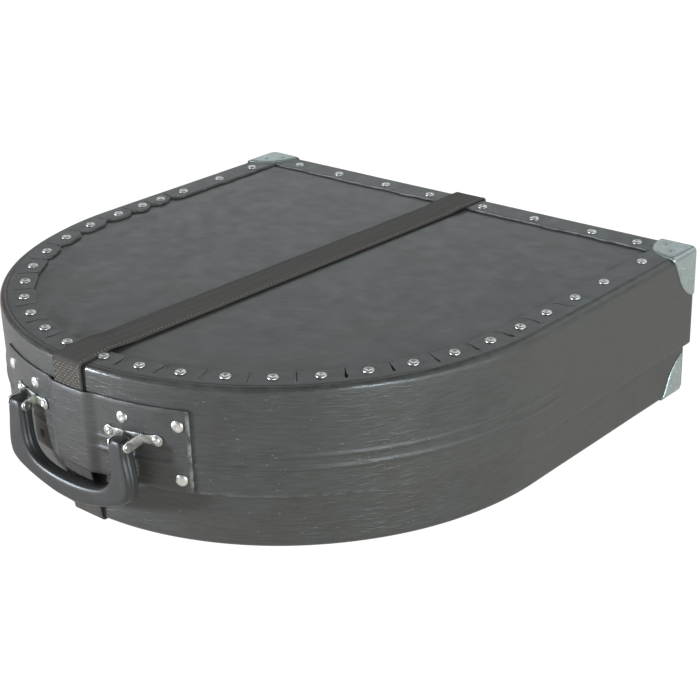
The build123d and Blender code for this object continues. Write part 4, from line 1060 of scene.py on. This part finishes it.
def edgeStitching(name, hand, thread):
    # one row along an edge of the upper length, past the slot in the webbing
    stitch = {"spacing": 4.6, "long": 2.3, "wide": 0.75, "fromEdge": 1.9, "from": 84.0}
    runs = runsAlong(upperPath)
    stitches = []
    run = stitch["from"]
    while run < runs[-1] - 3:
        k = int(np.searchsorted(runs, run)) - 1
        t = (run - runs[k]) / (runs[k + 1] - runs[k])
        back, z = upperPath[k] * (1 - t) + upperPath[k + 1] * t
        along = upperPath[k + 1] - upperPath[k]
        along = along / np.linalg.norm(along)
        normal = np.array([0.0, -along[1], along[0]])
        x = strapX(back) + hand * (halfWeb - stitch["fromEdge"])
        if not (94 < z < 128 and back > 200):
            y = curveY + back + frontSag(back, z) * strapDeep(x)
            middle = np.array([x + dice.uniform(-0.15, 0.15), y, z])
            slope = (strapX(back + 1) - strapX(back - 1)) / 2
            stitches.append((middle + normal * 0.85, (slope * along[0], *along), normal,
                             stitch["long"] * dice.uniform(0.85, 1.1), stitch["wide"]))
        run += stitch["spacing"] * dice.uniform(0.94, 1.06)
    stitchPiece(name, stitches, thread, "lid")


def frontStitching():
    # rows across the strap's front end, above the handle plate
    stitch = {"rows": 8, "perRow": 6, "z": 139.2, "rowGap": 2.75, "fromEdge": 4.6, "stagger": 1.4,
              "long": 4.6, "wide": 1.5}
    rows = []
    for row in range(stitch["rows"]):
        for step in range(stitch["perRow"]):
            u = (halfWeb - stitch["fromEdge"]) * (2 * step / (stitch["perRow"] - 1) - 1)
            angle = (strapX(-303.0) + u + stitch["stagger"] * (1 if row % 2 else -1)) / strap["front"]
            middle = onCurve(strap["front"] + 0.85, angle, stitch["z"] + row * stitch["rowGap"])
            along = (math.cos(angle), math.sin(angle), 0.12 * dice.uniform(-1, 1))
            normal = (math.sin(angle), -math.cos(angle), 0.0)
            rows.append((middle, along, normal, stitch["long"], stitch["wide"]))
    stitchPiece("strapFrontStitching", rows, sewingThread, "lid")


def foldStitching():
    # the sewn end of the fold at the buckle, boxed between its two rivets
    box = {"halfWide": 15.0, "low": 61.0, "high": 88.0, "pitch": 3.0, "y": curveY + 286.35, "long": 2.0,
           "wide": 0.7}
    middleX, outward = strap["backX"], (0, 1, 0)
    places = [((middleX - box["halfWide"] + box["pitch"] * k, box["y"], z), (1, 0, 0))
              for z in (box["low"], box["high"]) for k in range(11)]
    places += [((middleX + x, box["y"], box["low"] + 1.5 + box["pitch"] * k), (0, 0, 1))
               for x in (-box["halfWide"], box["halfWide"]) for k in range(9)]
    stitches = [(middle, along, outward, box["long"], box["wide"]) for middle, along in places]
    stitchPiece("strapFoldStitching", stitches, paleThread, "base")


edgeStitching("strapEdgeStitchingLeft", -1, darkThread)
edgeStitching("strapEdgeStitchingRight", 1, paleThread)
frontStitching()
foldStitching()
print("stitching ready")


# foam pads and keeper loop

def padPiece(name, body, node, faceZ, up):
    # rings round the pad's edge, then rings that close in on its slightly uneven face
    pad = {"margin": 38.0, "corner": 16.0, "thick": 10.0, "uneven": 0.35, "edgeDrop": 0.5}
    easedEdge = ((0.15, 0.0), (0.0, 1.2), (0.1, 5.0), (0.35, 7.4), (1.0, 8.9), (2.2, 9.7),
                 (4.0, pad["thick"]))
    outline = Outline([0.0])
    rings = []
    for inset, height in easedEdge:
        x, y, _, _ = outline.plan(pad["margin"] + inset, pad["margin"] + pad["corner"])
        rings.append(np.stack([x, y + curveY, np.full(outline.count, faceZ + up * height)], axis=1))
    last = rings[-1]
    centre = np.array([0.0, curveY + 20.0, faceZ + up * pad["thick"]])
    for share in (0.985, 0.95, 0.88, 0.76, 0.6, 0.42, 0.22):
        ring = centre + (last - centre) * share
        drop = pad["edgeDrop"] * (1 - float(smooth(0.9, 1.0, share)))
        lift = np.array([pad["uneven"] * noiseAt(p[0], p[1], 0, 70.0, 2.5) - drop for p in ring])
        ring[:, 2] = faceZ + up * (pad["thick"] + np.minimum(lift, 0.0))
        rings.append(ring)
    count = outline.count
    points = [*np.concatenate(rings), centre - np.array([0, 0, up * 0.5]), (0.0, curveY + 20.0, faceZ)]
    faces = gridFaces(len(rings), count)
    faces += fanFaces((len(rings) - 1) * count, count, len(points) - 2) + fanFaces(0, count, len(points) - 1)
    piece = makePiece(name, points, faces, foam, body, [node])


def keeperPiece():
    # a loop round the free end and the length under it, with a soft square section
    loop = {"z": strap["heelZ"] - 39.0, "height": 9.0, "thick": 1.4, "gap": 0.3, "squareness": 7.0}
    inner, outer = strap["baseBack"] - halfThick - loop["gap"], strap["tail"] + halfThick + loop["gap"]
    halfX, middleY, halfY = halfWeb + loop["gap"], (inner + outer) / 2, (outer - inner) / 2
    ring = []
    for k in range(64):
        turn = 2 * math.pi * k / 64
        ring.append([math.copysign(abs(v) ** (2 / loop["squareness"]), v)
                     for v in (math.cos(turn), math.sin(turn))])
    section = [(0.0, -0.5), (0.0, -0.2), (0.0, 0.2), (0.0, 0.5), (0.25, 0.56), (0.75, 0.56), (1.0, 0.5),
               (1.04, 0.2), (1.04, -0.2), (1.0, -0.5), (0.75, -0.56), (0.25, -0.56)]
    points = []
    for out, tall in section:
        wideX, wideY = halfX + loop["thick"] * out, halfY + loop["thick"] * out
        z = loop["z"] + tall * loop["height"] * 0.9
        points += [(strap["backX"] + ux * wideX, curveY + middleY + uy * wideY, z) for ux, uy in ring]
    makePiece("strapKeeper", points, gridFaces(len(section), 64, True), leatherboard, "base",
              ["strap_keeper"])


padPiece("basePad", "base", "base_pad", 7.4, 1)
padPiece("lidPad", "lid", "lid_pad", 156.4, -1)
keeperPiece()
print("pads and keeper ready")


# frame nodes that keep their shape
keptNodes = {node: fibre for node in ("lid_panel", "base_panel", "lid_splice", "base_splice")}
keptNodes.update({node: buckleNickel for node in ("handle_pin_left", "handle_pin_right", "fold_rivets",
                                                  "buckle_frame", "buckle_roller", "buckle_tongue")})
for node, material in keptNodes.items():
    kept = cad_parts[node]
    if not kept.material_slots:
        kept.data.materials.append(material)
    for each in kept.material_slots:
        each.material = material


# floor, light and camera

def makeFloor():
    # Pale paper, rolled: matte, with a soft grain, white to the camera and a little warm in reflections.
    material = bpy.data.materials.new("paperPaleRolled")
    add = startTree(material)
    grain = add("TexNoise", Scale=300.0)
    tone = add("ValToRGB", [(0.4, "#dedad4"), (0.6, "#e2ded8")], Fac=grain)
    paper = add("BsdfDiffuse", Color=tone)
    rays = add("LightPath")
    seen, glossy = rays.outputs["Is Camera Ray"], rays.outputs["Is Glossy Ray"]
    tint = add("Mix", data_type="RGBA", Factor=seen, i6="#ddd7cf", i7="#ffffff")
    glow = add("Emission", Color=tint.outputs[2], Strength=1.2)
    share = add("Math", operation="MAXIMUM", i0=seen, i1=glossy)
    share = add("Math", operation="MULTIPLY", i0=share, i1=0.82)
    add("OutputMaterial", Surface=add("MixShader", Fac=share, i1=paper, i2=glow))
    size = 9000.0
    corners = [(-size, -size, 0), (size, -size, 0), (size, size, 0), (-size, size, 0)]
    makePiece("floor", corners, [(0, 1, 2, 3)], material, None, closed=False)


def makeWorld():
    # a soft warm room, and plain white where the camera sees it
    world = bpy.data.worlds.new("studio")
    bpy.context.scene.world = world
    add = startTree(world)
    height = add("SeparateXYZ", Vector=add("TexCoord").outputs["Generated"]).outputs[2]
    dome = add("ValToRGB", [(0.0, "#dcd3c9"), (0.4, "#e2d9cf"), (0.8, "#bcb4ac"), (1.0, "#bcb4ac")],
               Fac=height)
    room = add("Background", Color=dome, Strength=0.28)
    white = add("Background", Color="#ffffff", Strength=1.0)
    rays = add("LightPath")
    seen = add("Math", operation="MAXIMUM", i0=rays.outputs["Is Camera Ray"],
                   i1=rays.outputs["Is Transmission Ray"])
    add("OutputWorld", Surface=add("MixShader", Fac=seen, i1=room, i2=white))


def areaLamp(name, place, target, size, power, tint):
    # places and sizes in metres, power in watts
    lamp = bpy.data.lights.new(name, "AREA")
    lamp.color = toLinear(tint)[:3]
    lamp.shape, lamp.size, lamp.size_y, lamp.energy = "RECTANGLE", size[0], size[1], power
    holder = bpy.data.objects.new(name, lamp)
    bpy.context.scene.collection.objects.link(holder)
    holder.location = place
    holder.rotation_euler = (Vector(target) - Vector(place)).to_track_quat("-Z", "Y").to_euler()


def addCamera():
    # solved from the case's outline; angles in degrees round the case and up, place in metres
    shot = {"place": (1.0404, -1.07331, 0.7219), "azimuth": 41.805, "elevation": 23.606, "roll": -2.071,
            "lens": 80.85}
    azimuth, elevation, roll = (math.radians(shot[key]) for key in ("azimuth", "elevation", "roll"))
    back = Vector((math.sin(azimuth) * math.cos(elevation), -math.cos(azimuth) * math.cos(elevation),
                   math.sin(elevation)))
    right = (-back).cross(Vector((0, 0, 1))).normalized()
    level = Matrix((right, right.cross(-back), back)).transposed()
    lens = bpy.data.cameras.new("camera")
    lens.lens, lens.sensor_width, lens.clip_end = shot["lens"], 36.0, 50.0
    camera = bpy.data.objects.new("camera", lens)
    camera.matrix_world = Matrix.Translation(shot["place"]) @ (level @ Matrix.Rotation(roll, 3, "Z")).to_4x4()
    bpy.context.scene.collection.objects.link(camera)
    bpy.context.scene.camera = camera


makeFloor()
makeWorld()
areaLamp("lampLeft", (-1.5, -2.05, 0.5), (0, -0.2, 0.1), (0.25, 0.4), 80, "#e9f2fd")
areaLamp("lampFront", (-1.55, -1.9, 1.5), (0, 0, 0.1), (0.3, 0.8), 6, "#e9f2fd")
areaLamp("lampSide", (2.3, -0.86, 0.6), (0, 0, 0.1), (0.4, 0.6), 46, "#e6f2f8")
areaLamp("lampRight", (2.4, 0.6, 0.8), (0, 0, 0.1), (0.6, 0.6), 12, "#e6f2f8")
areaLamp("lampCorner", (1.0, 2.0, 1.5), (0.3, 0, 0.1), (1.6, 1.2), 11, "#e9f4f9")
areaLamp("lampBehind", (-1.9, 2.3, 1.25), (0, 0, 0.1), (2.6, 0.9), 13.5, "#e9f4f9")
addCamera()
bpy.context.scene.view_settings.view_transform = "Standard"
